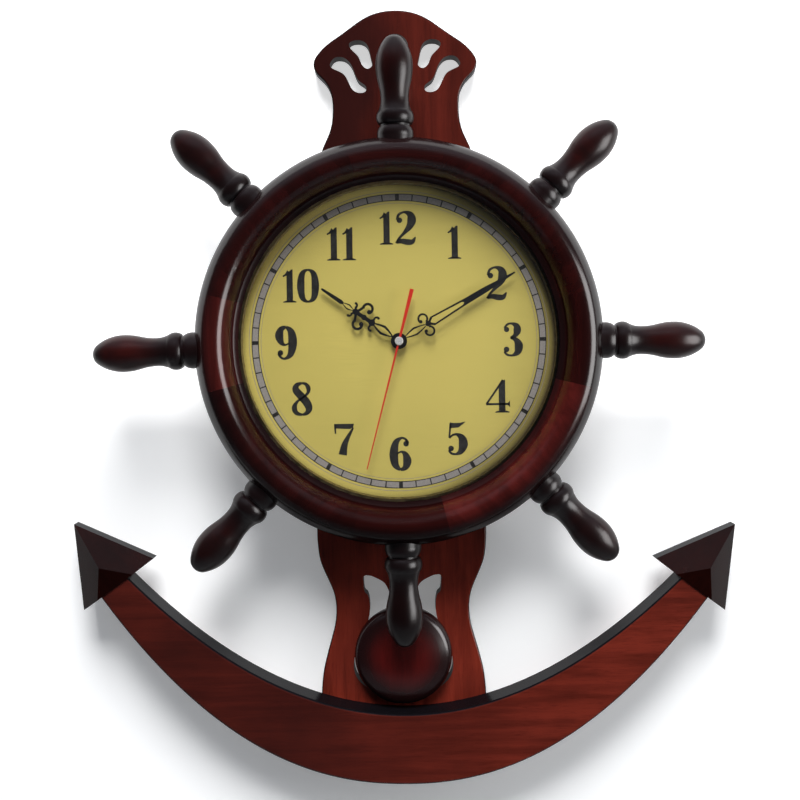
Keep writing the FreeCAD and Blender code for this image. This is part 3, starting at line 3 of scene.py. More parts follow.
import bmesh
import bpy
from bpy.props import FloatProperty, FloatVectorProperty, PointerProperty
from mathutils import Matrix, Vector


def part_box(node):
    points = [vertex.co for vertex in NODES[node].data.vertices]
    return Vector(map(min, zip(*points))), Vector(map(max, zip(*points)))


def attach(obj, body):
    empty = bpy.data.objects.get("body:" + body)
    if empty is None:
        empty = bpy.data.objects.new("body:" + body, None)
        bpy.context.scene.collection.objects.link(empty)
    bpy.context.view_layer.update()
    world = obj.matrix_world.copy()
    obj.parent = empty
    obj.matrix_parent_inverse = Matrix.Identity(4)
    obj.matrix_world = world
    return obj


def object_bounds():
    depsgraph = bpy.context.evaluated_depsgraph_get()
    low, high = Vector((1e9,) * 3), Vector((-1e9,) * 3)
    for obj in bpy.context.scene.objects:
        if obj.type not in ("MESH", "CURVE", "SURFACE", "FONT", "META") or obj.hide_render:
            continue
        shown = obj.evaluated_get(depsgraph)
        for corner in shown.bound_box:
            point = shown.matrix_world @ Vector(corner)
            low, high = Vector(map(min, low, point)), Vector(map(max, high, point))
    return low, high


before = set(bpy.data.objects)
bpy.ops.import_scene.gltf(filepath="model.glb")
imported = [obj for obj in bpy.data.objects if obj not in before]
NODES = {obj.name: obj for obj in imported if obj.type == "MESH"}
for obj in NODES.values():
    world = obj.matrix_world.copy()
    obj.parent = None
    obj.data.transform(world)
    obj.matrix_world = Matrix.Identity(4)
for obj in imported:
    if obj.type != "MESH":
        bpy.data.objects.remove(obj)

# Looks of a wall clock in the form of a ship's wheel over an anchor. The wooden pieces get
# their stain and lacquer, the dial gets its print, and a pale wall stands behind.

bl_info = {
    "name": "Wheel Clock",
    "version": (1, 0, 0),
    "blender": (4, 5, 0),
    "location": "3D View > Sidebar > Clock",
    "description": "Finishes, dial print and stage of a ship's wheel wall clock",
    "category": "Add Mesh",
}

CAD_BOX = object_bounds()
MM = 0.001
PICTURE_PIXELS = 800    # across the finished picture, for the camera's shift
ROOT = "clock"


# Places read from the frame
def middle_of(node):
    low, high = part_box(node)
    return (Vector(low) + Vector(high)) / 2


def front_of(node):
    """How far a node's front stands out from the wall, as a y."""
    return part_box(node)[0][1]


HUB = middle_of("dial_plate")
DIAL_FRONT = front_of("dial_plate")
HANDLES = [f"handle_{i}" for i in range(1, 9)]
RIM_BLOCKS = [f"rim_block_{i}" for i in range(1, 9)]


# Settings that a user would change
class WoodSettings(bpy.types.PropertyGroup):
    board: FloatVectorProperty(
        name="Board", description="Stain of the board and the band", subtype="COLOR",
        size=3, min=0, max=1, default=(0.225, 0.028, 0.015))
    # Colour of the sprayed shade, and of the painted shade on the left of the crown and the band
    board_shade: FloatVectorProperty(
        name="Board shade", description="Sprayed shade over the board's stain", subtype="COLOR",
        size=3, min=0, max=1, default=(0.020, 0.005, 0.0045))
    wheel: FloatVectorProperty(
        name="Wheel", description="Stain of the rim and the handles", subtype="COLOR",
        size=3, min=0, max=1, default=(0.048, 0.0055, 0.0045))
    # Colour of the sprayed shade, and of the painted shade in the rim's recess by the dial
    wheel_shade: FloatVectorProperty(
        name="Wheel shade", description="Sprayed shade over the wheel's stain", subtype="COLOR",
        size=3, min=0, max=1, default=(0.0055, 0.0028, 0.0030))
    edge: FloatVectorProperty(
        name="Edges", description="Black edging of the flat pieces", subtype="COLOR",
        size=3, min=0, max=1, default=(0.004, 0.0035, 0.0045))
    bob: FloatVectorProperty(
        name="Bob", description="Stain of the pendulum's bob", subtype="COLOR",
        size=3, min=0, max=1, default=(0.10, 0.006, 0.005))
    gloss: FloatProperty(
        name="Lacquer roughness", description="Roughness of the clear lacquer",
        subtype="FACTOR", min=0, max=1, default=0.2)


class DialSettings(bpy.types.PropertyGroup):
    gold: FloatVectorProperty(
        name="Face", description="Brushed face of the dial", subtype="COLOR",
        size=3, min=0, max=1, default=(0.64, 0.52, 0.13))
    # Colour of the painted shadow and shade at the dial's edge
    bronze: FloatVectorProperty(
        name="Edge", description="Bronzed edge of the dial", subtype="COLOR",
        size=3, min=0, max=1, default=(0.07, 0.052, 0.025))
    ink: FloatVectorProperty(
        name="Ink", description="Numerals and rules", subtype="COLOR",
        size=3, min=0, max=1, default=(0.012, 0.011, 0.010))
    silver: FloatVectorProperty(
        name="Track", description="Blocks of the minute track", subtype="COLOR",
        size=3, min=0, max=1, default=(0.27, 0.245, 0.225))
    numeral_height: FloatProperty(
        name="Numeral height", description="Height of a numeral", unit="LENGTH",
        min=0.005, max=0.05, default=26.5 * MM)
    numeral_radius: FloatProperty(
        name="Numeral radius", description="From the hands' axis to a numeral's middle",
        unit="LENGTH", min=0.02, max=0.12, default=90.5 * MM)
    track_radius: FloatProperty(
        name="Track radius", description="Outer edge of the minute track", unit="LENGTH",
        min=0.05, max=0.125, default=118 * MM)
    track_width: FloatProperty(
        name="Track width", description="Width of the minute track", unit="LENGTH",
        min=0.001, max=0.02, default=5.8 * MM)


class StageSettings(bpy.types.PropertyGroup):
    distance: FloatProperty(
        name="Camera distance", description="From the wall to the camera", unit="LENGTH",
        min=0.3, max=5, default=940 * MM)
    lens: FloatProperty(
        name="Lens", description="Focal length on a 36 mm sensor", subtype="DISTANCE_CAMERA",
        min=10, max=200, default=50.34)
    roll: FloatProperty(
        name="Camera roll", description="Turn of the camera about its own axis",
        subtype="ANGLE", default=math.radians(0.82))
    wall: FloatVectorProperty(
        name="Wall", description="Colour of the wall", subtype="COLOR",
        size=3, min=0, max=1, default=(0.93, 0.93, 0.93))
    floor: FloatVectorProperty(
        name="Floor", description="Colour of the floor", subtype="COLOR",
        size=3, min=0, max=1, default=(0.5, 0.5, 0.5))
    key_power: FloatProperty(
        name="Key power", description="Lamp at the right", subtype="POWER", min=0, default=5.0)
    top_power: FloatProperty(
        name="Top power", description="Lamp above", subtype="POWER", min=0, default=47.0)
    card_power: FloatProperty(
        name="Card power", description="Lit card at the right that only shows in the gloss",
        subtype="POWER", min=0, default=29.0)
    drop: FloatProperty(
        name="Floor drop", description="From the clock's foot down to the floor",
        unit="LENGTH", min=0, default=2.2)


# Node groups that several finishes share
def shader_group(name, inputs, outputs):
    """An empty node group with named inputs and outputs."""
    group = bpy.data.node_groups.new(name, "ShaderNodeTree")
    for label, kind, value in inputs:
        socket = group.interface.new_socket(label, in_out="INPUT", socket_type=kind)
        socket.default_value = value
    for label, kind in outputs:
        group.interface.new_socket(label, in_out="OUTPUT", socket_type=kind)
    return group, group.nodes.new("NodeGroupInput"), group.nodes.new("NodeGroupOutput")


class Wires:
    """Short calls for the nodes of one tree."""

    def __init__(self, tree):
        self.tree = tree

    def add(self, kind, **values):
        node = self.tree.nodes.new(kind)
        for key, value in values.items():
            setattr(node, key, value)
        return node

    def link(self, source, target):
        self.tree.links.new(source, target)

    def feed(self, socket, value):
        if isinstance(value, bpy.types.NodeSocket):
            self.link(value, socket)
        else:
            socket.default_value = value

    def math(self, operation, *values):
        node = self.add("ShaderNodeMath", operation=operation)
        for socket, value in zip(node.inputs, values):
            self.feed(socket, value)
        return node.outputs[0]

    def vector(self, operation, *values):
        node = self.add("ShaderNodeVectorMath", operation=operation)
        for socket, value in zip(node.inputs, values):
            self.feed(socket, value)
        return node.outputs["Value"] if operation in ("LENGTH", "DOT_PRODUCT") else node.outputs[0]

    def mix(self, share, a, b):
        node = self.add("ShaderNodeMix", data_type="RGBA")
        for label, value in (("Factor", share), ("A", a), ("B", b)):
            socket = next(s for s in node.inputs if s.name == label and s.type == (
                "VALUE" if label == "Factor" else "RGBA"))
            self.feed(socket, value)
        return next(s for s in node.outputs if s.type == "RGBA")

    def noise(self, vector, scale, detail=3.0, roughness=0.5, distortion=0.0):
        node = self.add("ShaderNodeTexNoise")
        self.feed(node.inputs["Vector"], vector)
        node.inputs["Detail"].default_value = detail
        node.inputs["Roughness"].default_value = roughness
        node.inputs["Distortion"].default_value = distortion
        self.feed(node.inputs["Scale"], scale)
        return node.outputs["Fac"]

    def fade(self, value, low, high, to_low=0.0, to_high=1.0):
        """A value mapped smoothly from one range to another."""
        node = self.add("ShaderNodeMapRange", interpolation_type="SMOOTHSTEP")
        for label, number in (("Value", value), ("From Min", low), ("From Max", high),
                              ("To Min", to_low), ("To Max", to_high)):
            self.feed(node.inputs[label], number)
        return node.outputs["Result"]


def colour4(values):
    return (*values, 1.0)


def toned(values, share):
    """A colour made lighter or darker, with its alpha."""
    return colour4([v * share for v in values])


def grain_group():
    """Straight grain with broad bands, fine streaks and short pores."""
    group, given, made = shader_group(
        "Straight Grain",
        (("Stain", "NodeSocketColor", (0.2, 0.03, 0.02, 1)),
         ("Turn", "NodeSocketFloat", 0.0),
         ("Depth", "NodeSocketFloat", 0.5)),
        (("Color", "NodeSocketColor"), ("Height", "NodeSocketFloat")),
    )
    w = Wires(group)
    place = w.add("ShaderNodeTexCoord").outputs["Object"]
    turned = w.add("ShaderNodeVectorRotate", rotation_type="Y_AXIS")
    w.link(place, turned.inputs["Vector"])
    turned.inputs["Center"].default_value = HUB
    w.link(given.outputs["Turn"], turned.inputs["Angle"])
    stretch = 0.07  # of the noise along the grain
    along = w.vector("MULTIPLY", turned.outputs[0], (1.0, 1.0, stretch))
    streaks = w.noise(along, scale=170.0, detail=5.0, roughness=0.62, distortion=0.5)
    bands = w.noise(along, scale=32.0, detail=2.0, roughness=0.5, distortion=1.2)
    pores = w.noise(along, scale=1500.0, detail=2.0, roughness=0.6)
    clouds = w.noise(turned.outputs[0], scale=14.0)
    both = w.math("ADD", w.math("MULTIPLY", streaks, 0.5), w.math("MULTIPLY", bands, 0.5))
    dark = w.fade(both, 0.36, 0.64)
    lit = w.math("MULTIPLY_ADD", dark, w.math("MULTIPLY", given.outputs["Depth"], -1.0), 1.0)
    lit = w.math("MULTIPLY", lit, w.fade(pores, 0.3, 0.45, 0.78, 1.0))
    lit = w.math("MULTIPLY", lit, w.fade(clouds, 0.3, 0.7, 0.85, 1.15))
    shaded = w.add("ShaderNodeVectorMath", operation="SCALE")
    w.link(given.outputs["Stain"], shaded.inputs[0])
    w.link(lit, shaded.inputs["Scale"])
    w.link(shaded.outputs[0], made.inputs["Color"])
    w.link(w.math("MULTIPLY", w.fade(pores, 0.3, 0.45), 0.5), made.inputs["Height"])
    return group


def patch_group():
    """Cloudy mask with soft borders, for hand sprayed shade and for uneven sheen."""
    group, given, made = shader_group(
        "Soft Patches",
        (("Size", "NodeSocketFloat", 20.0), ("Low", "NodeSocketFloat", 0.4),
         ("High", "NodeSocketFloat", 0.6)),
        (("Mask", "NodeSocketFloat"),),
    )
    w = Wires(group)
    place = w.add("ShaderNodeTexCoord").outputs["Object"]
    cloud = w.noise(place, given.outputs["Size"], 3.0, 0.55)
    w.link(w.fade(cloud, given.outputs["Low"], given.outputs["High"]), made.inputs["Mask"])
    return group


def edge_group():
    """Mask of what faces sideways rather than out, for the black edging of flat pieces."""
    group, given, made = shader_group(
        "Side Faces",
        (("Start", "NodeSocketFloat", 0.02), ("Full", "NodeSocketFloat", 0.25)),
        (("Mask", "NodeSocketFloat"),),
    )
    w = Wires(group)
    normal = w.add("ShaderNodeNewGeometry").outputs["Normal"]
    parts = w.add("ShaderNodeSeparateXYZ")
    w.link(normal, parts.inputs[0])
    facing = w.math("ABSOLUTE", parts.outputs["Y"])
    side = w.math("SUBTRACT", 1.0, facing)
    w.link(w.fade(side, given.outputs["Start"], given.outputs["Full"]), made.inputs["Mask"])
    return group


def reach_group():
    """Distance from the hands' axis, in metres."""
    group, given, made = shader_group("Reach From Hub", (), (("Reach", "NodeSocketFloat"),))
    w = Wires(group)
    place = w.add("ShaderNodeTexCoord").outputs["Object"]
    flat = w.vector("MULTIPLY", w.vector("SUBTRACT", place, tuple(HUB)), (1.0, 0.0, 1.0))
    w.link(w.vector("LENGTH", flat), made.inputs["Reach"])
    return group


GROUPS = {}


def group_node(w, name, **values):
    """A shared group placed in a material with its own values."""
    makers = {"grain": grain_group, "patch": patch_group, "side": edge_group, "reach": reach_group}
    if name not in GROUPS:
        GROUPS[name] = makers[name]()
    node = w.add("ShaderNodeGroup", node_tree=GROUPS[name])
    for label, value in values.items():
        w.feed(node.inputs[label], value)
    return node.outputs


def new_material(name, **values):
    """A material with one Principled shader whose plain sockets are set here."""
    material = bpy.data.materials.new(name)
    material.use_nodes = True
    shader = material.node_tree.nodes["Principled BSDF"]
    for label, value in values.items():
        shader.inputs[label.replace("_", " ")].default_value = value
    return material, shader, Wires(material.node_tree)


# Depths of surface texture, in metres
PORE_DEPTH = 0.00004
SATIN_DEPTH = 0.00001
MOULD_DEPTH = 0.00002


def bump(w, shader, height, distance, strength):
    """Fine relief from a height mask."""
    node = w.add("ShaderNodeBump")
    node.inputs["Strength"].default_value = strength
    node.inputs["Distance"].default_value = distance
    w.feed(node.inputs["Height"], height)
    w.link(node.outputs["Normal"], shader.inputs["Normal"])


def lacquered(name, stain, turn, depth=0.5, gloss=None, coat=1.0):
    """Stained wood under clear lacquer. Gives the material's shader, wires and grain outputs."""
    wood = bpy.context.scene.clock_wood
    material, shader, w = new_material(
        name, Coat_Weight=coat, Coat_Roughness=gloss or wood.gloss, Coat_IOR=1.38,
        Specular_IOR_Level=0.0)
    grain = group_node(w, "grain", Stain=colour4(stain), Turn=turn, Depth=depth)
    sheen = group_node(w, "patch", Size=55.0)["Mask"]
    w.link(w.fade(sheen, 0.0, 1.0, 0.36, 0.48), shader.inputs["Roughness"])
    w.link(grain["Color"], shader.inputs["Base Color"])
    bump(w, shader, grain["Height"], PORE_DEPTH, 0.35)
    return material, shader, w, grain


def drift(w, axis, start, full):
    """A mask that rises along one axis of the object, with a cloudy border."""
    place = w.add("ShaderNodeTexCoord").outputs["Object"]
    parts = w.add("ShaderNodeSeparateXYZ")
    w.link(place, parts.inputs[0])
    wander = w.math("MULTIPLY_ADD", w.noise(place, 12.0), 0.08, -0.04)
    return w.fade(w.math("ADD", parts.outputs[axis], wander), start, full)


def edged(w, shader, face, face_coat, side_coat, **limits):
    """Black edging, with its own coat of lacquer, on what faces sideways."""
    side = group_node(w, "side", **limits)["Mask"]
    w.link(w.fade(side, 0.0, 1.0, face_coat, side_coat), shader.inputs["Coat Weight"])
    edge = colour4(bpy.context.scene.clock_wood.edge)
    w.link(w.mix(side, face, edge), shader.inputs["Base Color"])


def paint(nodes, material):
    """Gives one finish to the CAD nodes named in a row of words."""
    for node in nodes.split():
        mesh = NODES[node].data
        mesh.materials.clear()
        mesh.materials.append(material)


# Flat print on the dial
def face_out(bm):
    """Turns every flat face towards the viewer in front of the dial."""
    for face in bm.faces:
        face.normal_update()
        if face.normal.y > 0:
            face.normal_flip()


def print_piece(name, bm, material):
    """A finished piece of print that rides with the dial."""
    face_out(bm)
    mesh = bpy.data.meshes.new(name)
    bm.to_mesh(mesh)
    bm.free()
    piece = bpy.data.objects.new(name, mesh)
    bpy.context.scene.collection.objects.link(piece)
    mesh.materials.append(material)
    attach(piece, ROOT)


def around(radius, degrees, y):
    """A point at a clock angle, clockwise from twelve."""
    a = math.radians(degrees)
    return Vector((HUB.x + radius * math.sin(a), y, HUB.z + radius * math.cos(a)))


def sector(bm, inner, outer, start, end, y, steps=4):
    """A flat piece of a ring, between two clock angles."""
    rows = []
    for i in range(steps + 1):
        degrees = start + (end - start) * i / steps
        rows.append([bm.verts.new(around(radius, degrees, y)) for radius in (inner, outer)])
    for (a, b), (c, d) in zip(rows, rows[1:]):
        bm.faces.new((a, b, d, c))


def spline_points(points, closed, steps=6):
    """Points on a smooth line through the given ones, each with its width."""
    count = len(points)
    spans = count if closed else count - 1
    line = []
    for i in range(spans):
        if closed:
            quad = [points[(i + k - 1) % count] for k in range(4)]
        else:
            quad = [points[min(max(i + k - 1, 0), count - 1)] for k in range(4)]
        for s in range(steps):
            t = s / steps
            line.append(tuple(
                0.5 * (2 * b + (c - a) * t + (2 * a - 5 * b + 4 * c - d) * t ** 2
                       + (3 * b - a - 3 * c + d) * t ** 3)
                for a, b, c, d in zip(*quad)))
    if not closed:
        line.append(tuple(points[-1]))
    return line


def ribbon(bm, points, place, closed=False):
    """A stroke of changing width along a smooth line of (x, y, half width)."""
    line = spline_points(points, closed)
    count = len(line)
    rows = []
    for i, (x, y, half) in enumerate(line):
        before = line[i - 1] if i or closed else line[0]
        after = line[(i + 1) % count] if closed or i + 1 < count else line[-1]
        way = Vector((after[0] - before[0], after[1] - before[1]))
        way.normalize()
        side = Vector((-way.y, way.x)) * (half * BOLDNESS + HAIRLINE)
        rows.append((bm.verts.new(place(x + side.x, y + side.y)),
                     bm.verts.new(place(x - side.x, y - side.y))))
    if closed:
        rows.append(rows[0])
    for (a, b), (c, d) in zip(rows, rows[1:]):
        bm.faces.new((a, b, d, c))


def disc(bm, x, y, radius, place, count=20):
    """A round spot."""
    verts = []
    for i in range(count):
        a = 2 * math.pi * i / count
        verts.append(bm.verts.new(place(x + radius * math.cos(a), y + radius * math.sin(a))))
    bm.faces.new(verts)


def polygon(bm, points, place):
    """A flat plate with straight sides."""
    bm.faces.new([bm.verts.new(place(x, y)) for x, y in points])


# Numerals of contrasting strokes, in shares of a numeral's height. A stroke is a row of
# (across, up, half width), a ball is (across, up, radius), a plate is a row of corners.
DIGIT_SHARES = {
    "0": dict(width=0.62, loops=(
        ((0.31, 0.98, 0.022), (0.48, 0.86, 0.07), (0.53, 0.5, 0.098), (0.48, 0.14, 0.07),
         (0.31, 0.02, 0.022), (0.14, 0.14, 0.07), (0.09, 0.5, 0.098), (0.14, 0.86, 0.07)),)),
    "1": dict(width=0.42, strokes=(
        ((0.02, 0.79, 0.012), (0.12, 0.85, 0.025), (0.2, 0.94, 0.05)),),
        plates=(((0.13, 0.03), (0.32, 0.03), (0.32, 1.0), (0.27, 1.0), (0.13, 0.85)),
                ((0.02, 0.0), (0.42, 0.0), (0.42, 0.03), (0.34, 0.06), (0.12, 0.06),
                 (0.02, 0.03)))),
    "2": dict(width=0.64, strokes=(
        ((0.08, 0.74, 0.03), (0.13, 0.9, 0.028), (0.3, 0.975, 0.026), (0.47, 0.9, 0.085),
         (0.52, 0.73, 0.115), (0.45, 0.54, 0.085), (0.29, 0.35, 0.04), (0.13, 0.18, 0.026),
         (0.04, 0.04, 0.02)),
        ((0.05, 0.06, 0.03), (0.2, 0.1, 0.06), (0.38, 0.07, 0.075), (0.53, 0.08, 0.06),
         (0.63, 0.22, 0.008))),
        balls=((0.15, 0.73, 0.085),)),
    "3": dict(width=0.62, strokes=(
        ((0.08, 0.84, 0.02), (0.17, 0.95, 0.024), (0.3, 0.98, 0.024), (0.44, 0.91, 0.075),
         (0.47, 0.77, 0.1), (0.4, 0.62, 0.055), (0.26, 0.55, 0.018)),
        ((0.26, 0.55, 0.018), (0.42, 0.49, 0.06), (0.51, 0.32, 0.11), (0.47, 0.12, 0.085),
         (0.32, 0.02, 0.026), (0.16, 0.04, 0.024), (0.07, 0.14, 0.024))),
        balls=((0.15, 0.8, 0.08), (0.14, 0.2, 0.085))),
    "4": dict(width=0.74, strokes=(
        ((0.53, 0.99, 0.02), (0.28, 0.62, 0.02), (0.03, 0.27, 0.02)),
        ((0.02, 0.26, 0.022), (0.36, 0.26, 0.022), (0.7, 0.26, 0.022))),
        plates=(((0.4, 0.04), (0.6, 0.04), (0.6, 1.0), (0.52, 0.97), (0.4, 0.8)),
                ((0.29, 0.0), (0.72, 0.0), (0.72, 0.03), (0.62, 0.06), (0.38, 0.06),
                 (0.29, 0.03)),
                ((0.66, 0.24), (0.74, 0.16), (0.74, 0.36), (0.66, 0.28)))),
    "5": dict(width=0.62, strokes=(
        ((0.12, 0.94, 0.02), (0.1, 0.72, 0.018), (0.08, 0.52, 0.018)),
        ((0.08, 0.5, 0.016), (0.18, 0.59, 0.022), (0.32, 0.61, 0.035), (0.46, 0.5, 0.095),
         (0.5, 0.3, 0.12), (0.42, 0.1, 0.075), (0.28, 0.02, 0.026), (0.14, 0.04, 0.024),
         (0.06, 0.14, 0.022))),
        balls=((0.13, 0.19, 0.085),),
        plates=(((0.1, 0.8), (0.36, 0.82), (0.5, 0.92), (0.58, 1.0), (0.42, 0.965),
                 (0.22, 0.96), (0.1, 0.98)),)),
    "6": dict(width=0.64, strokes=(
        ((0.55, 0.83, 0.03), (0.47, 0.95, 0.026), (0.34, 0.98, 0.028), (0.18, 0.84, 0.08),
         (0.115, 0.5, 0.115), (0.16, 0.18, 0.09), (0.31, 0.02, 0.028)),
        ((0.31, 0.02, 0.028), (0.46, 0.1, 0.075), (0.52, 0.29, 0.11), (0.46, 0.49, 0.07),
         (0.34, 0.57, 0.022), (0.2, 0.5, 0.018))),
        balls=((0.49, 0.81, 0.085),)),
    "7": dict(width=0.62, strokes=(
        ((0.6, 0.86, 0.016), (0.45, 0.6, 0.045), (0.33, 0.34, 0.08), (0.27, 0.04, 0.11)),
        ((0.04, 0.98, 0.01), (0.05, 0.86, 0.018), (0.06, 0.68, 0.012))),
        plates=(((0.04, 0.98), (0.05, 0.84), (0.5, 0.82), (0.6, 0.87), (0.62, 0.98)),)),
    "8": dict(width=0.64, strokes=(
        ((0.33, 0.98, 0.024), (0.18, 0.92, 0.06), (0.14, 0.78, 0.09), (0.28, 0.6, 0.1),
         (0.45, 0.41, 0.105), (0.53, 0.22, 0.09), (0.47, 0.08, 0.055), (0.33, 0.02, 0.024)),
        ((0.33, 0.02, 0.024), (0.15, 0.08, 0.055), (0.09, 0.24, 0.065), (0.18, 0.42, 0.03),
         (0.36, 0.55, 0.022), (0.5, 0.68, 0.035), (0.52, 0.82, 0.055), (0.45, 0.94, 0.04),
         (0.33, 0.98, 0.024)))),
}
INK_LIFT = 0.03 * MM    # of one layer of print off what it lies on
BOLDNESS = 1.08         # of the strokes against the shares above
HAIRLINE = 0.009        # added to every half stroke, as a share of the height
NUMERAL_GAP = 0.05      # between two digits of a numeral, as a share of the height


def draw_digit(bm, digit, place):
    """One digit. A nine is a six turned half round."""
    shares = DIGIT_SHARES["6" if digit == "9" else digit]
    if digit == "9":
        width = shares["width"]
        upright = place

        def place(x, y):
            return upright(width - x, 1 - y)

    for points in shares.get("strokes", ()):
        ribbon(bm, points, place)
    for points in shares.get("loops", ()):
        ribbon(bm, points, place, closed=True)
    for x, y, radius in shares.get("balls", ()):
        disc(bm, x, y, radius, place)
    for points in shares.get("plates", ()):
        polygon(bm, points, place)


def draw_numeral(number, height, radius, y):
    """One numeral, upright, its middle at its place round the dial."""
    bm = bmesh.new()
    text = str(number)
    widths = [DIGIT_SHARES["6" if c == "9" else c]["width"] for c in text]
    total = sum(widths) + NUMERAL_GAP * (len(text) - 1)
    centre = around(radius, 30 * number, y)
    start = -total / 2
    for character, width in zip(text, widths):
        def place(x, up, shift=start):
            return centre + Vector(((x + shift) * height, 0, (up - 0.5) * height))
        draw_digit(bm, character, place)
        start += width + NUMERAL_GAP
    return bm


# Finishes
def ink_material():
    """Matt black print."""
    dial = bpy.context.scene.clock_dial
    material, shader, w = new_material("dial ink", Coat_Weight=0.2)
    mask = group_node(w, "patch", Size=400.0)["Mask"]
    w.link(w.mix(mask, colour4(dial.ink), toned(dial.ink, 1.7)), shader.inputs["Base Color"])
    w.link(w.fade(mask, 0.0, 1.0, 0.35, 0.5), shader.inputs["Roughness"])
    return material


def metal_material(name, colour, roughness=0.3, grain=300.0, metallic=1.0):
    """Metal with an uneven satin."""
    material, shader, w = new_material(name, Metallic=metallic)
    mask = group_node(w, "patch", Size=grain)["Mask"]
    w.link(w.mix(mask, colour4(colour), toned(colour, 0.82)), shader.inputs["Base Color"])
    w.link(w.fade(mask, 0.0, 1.0, roughness * 0.8, roughness * 1.25), shader.inputs["Roughness"])
    bump(w, shader, mask, SATIN_DEPTH, 0.3)
    return material


def plastic_material(name, colour, roughness):
    """Moulded or painted surface with a fine texture."""
    material, shader, w = new_material(name)
    mask = group_node(w, "patch", Size=900.0)["Mask"]
    w.link(w.mix(mask, colour4(colour), toned(colour, 0.88)), shader.inputs["Base Color"])
    shader.inputs["Roughness"].default_value = roughness
    bump(w, shader, mask, MOULD_DEPTH, 0.4)
    return material


def glass_material():
    """Clear glass that lets lamp light through to the dial."""
    material, shader, w = new_material(
        "clock glass", Transmission_Weight=1.0, IOR=1.45, Roughness=0.02)
    smear = group_node(w, "patch", Size=9.0)["Mask"]
    w.link(w.mix(smear, (0.97, 0.98, 0.98, 1), (1, 1, 1, 1)), shader.inputs["Base Color"])
    path = w.add("ShaderNodeLightPath")
    clear = w.add("ShaderNodeBsdfTransparent")
    through = w.math("MAXIMUM", path.outputs["Is Shadow Ray"], path.outputs["Is Diffuse Ray"])
    mix = w.add("ShaderNodeMixShader")
    w.link(through, mix.inputs[0])
    w.link(shader.outputs[0], mix.inputs[1])
    w.link(clear.outputs[0], mix.inputs[2])
    out = material.node_tree.nodes["Material Output"]
    w.link(mix.outputs[0], out.inputs["Surface"])
    return material


class CLOCK_OT_board(bpy.types.Operator):
    """Finish the back board, its hanger and the spacer blocks"""
    bl_idname = "clock.board"
    bl_label = "Back board"

    # Where the sprayed shade on the crown and the painted shade on its left start and are full, up
    # and to the right of the hub, in metres
    crown_shade = (0.05, 0.12)
    left_shade = (0.01, -0.03)

    def execute(self, context):
        wood = context.scene.clock_wood
        material, shader, w, grain = lacquered("board lacquer", wood.board, 0.0)
        patches = group_node(w, "patch", Size=9.0, Low=0.35, High=0.7)["Mask"]
        crown = drift(w, "Z", *(HUB.z + v for v in self.crown_shade))
        # Painted shade: the crown is darker on its left, away from the lamp at the right
        left = drift(w, "X", *self.left_shade)
        spray_and_painted_shade = w.math("MULTIPLY", crown, w.math("MULTIPLY_ADD", left, 0.3, 0.66))
        spray_and_painted_shade = w.math("MAXIMUM", spray_and_painted_shade, w.math("MULTIPLY", patches, 0.35))
        shaded = w.mix(spray_and_painted_shade, grain["Color"], colour4(wood.board_shade))
        edged(w, shader, shaded, face_coat=0.75, side_coat=0.3)
        paint("back_board", material)
        raw = lacquered(
            "raw wood", (0.42, 0.27, 0.15), turn=0.0, depth=0.35, gloss=0.6, coat=0.0)[0]
        paint("spacer_blocks dial_retainers fluke_dowels", raw)
        paint("hanger_plate", metal_material("hanger plating", (0.7, 0.62, 0.42)))
        return {"FINISHED"}


class CLOCK_OT_anchor(bpy.types.Operator):
    """Finish the anchor band and its flukes"""
    bl_idname = "clock.anchor"
    bl_label = "Anchor"

    # Painted shade: the band darkens towards its left, away from the lamp at the right
    band_shade = (0.12, -0.12)  # where it starts and is full, to the right of the hub
    fluke_turn = 0.6            # of the grain, in radians

    def execute(self, context):
        wood = context.scene.clock_wood
        stain = [v * 0.7 for v in wood.board]
        material, shader, w, grain = lacquered("band lacquer", stain, math.radians(90))
        patches = group_node(w, "patch", Size=12.0, Low=0.35, High=0.7)["Mask"]
        # Painted shade on the band's left, with random sprayed patches over it
        spray_and_painted_shade = w.math("MULTIPLY", drift(w, "X", *self.band_shade), 0.62)
        spray_and_painted_shade = w.math("ADD", spray_and_painted_shade, w.math("MULTIPLY", patches, 0.2))
        shaded = w.mix(spray_and_painted_shade, grain["Color"], colour4(wood.board_shade))
        edged(w, shader, shaded, face_coat=0.9, side_coat=0.3)
        paint("anchor_band", material)
        stain = [v * 0.05 for v in wood.board]
        for node, turn in (("fluke_left", self.fluke_turn), ("fluke_right", -self.fluke_turn)):
            name = node.replace("_", " ") + " lacquer"
            material, shader, w, grain = lacquered(name, stain, turn, depth=0.4, gloss=0.1)
            edged(w, shader, grain["Color"], face_coat=0.5, side_coat=0.35, Start=0.5, Full=0.95)
            paint(node, material)
        return {"FINISHED"}


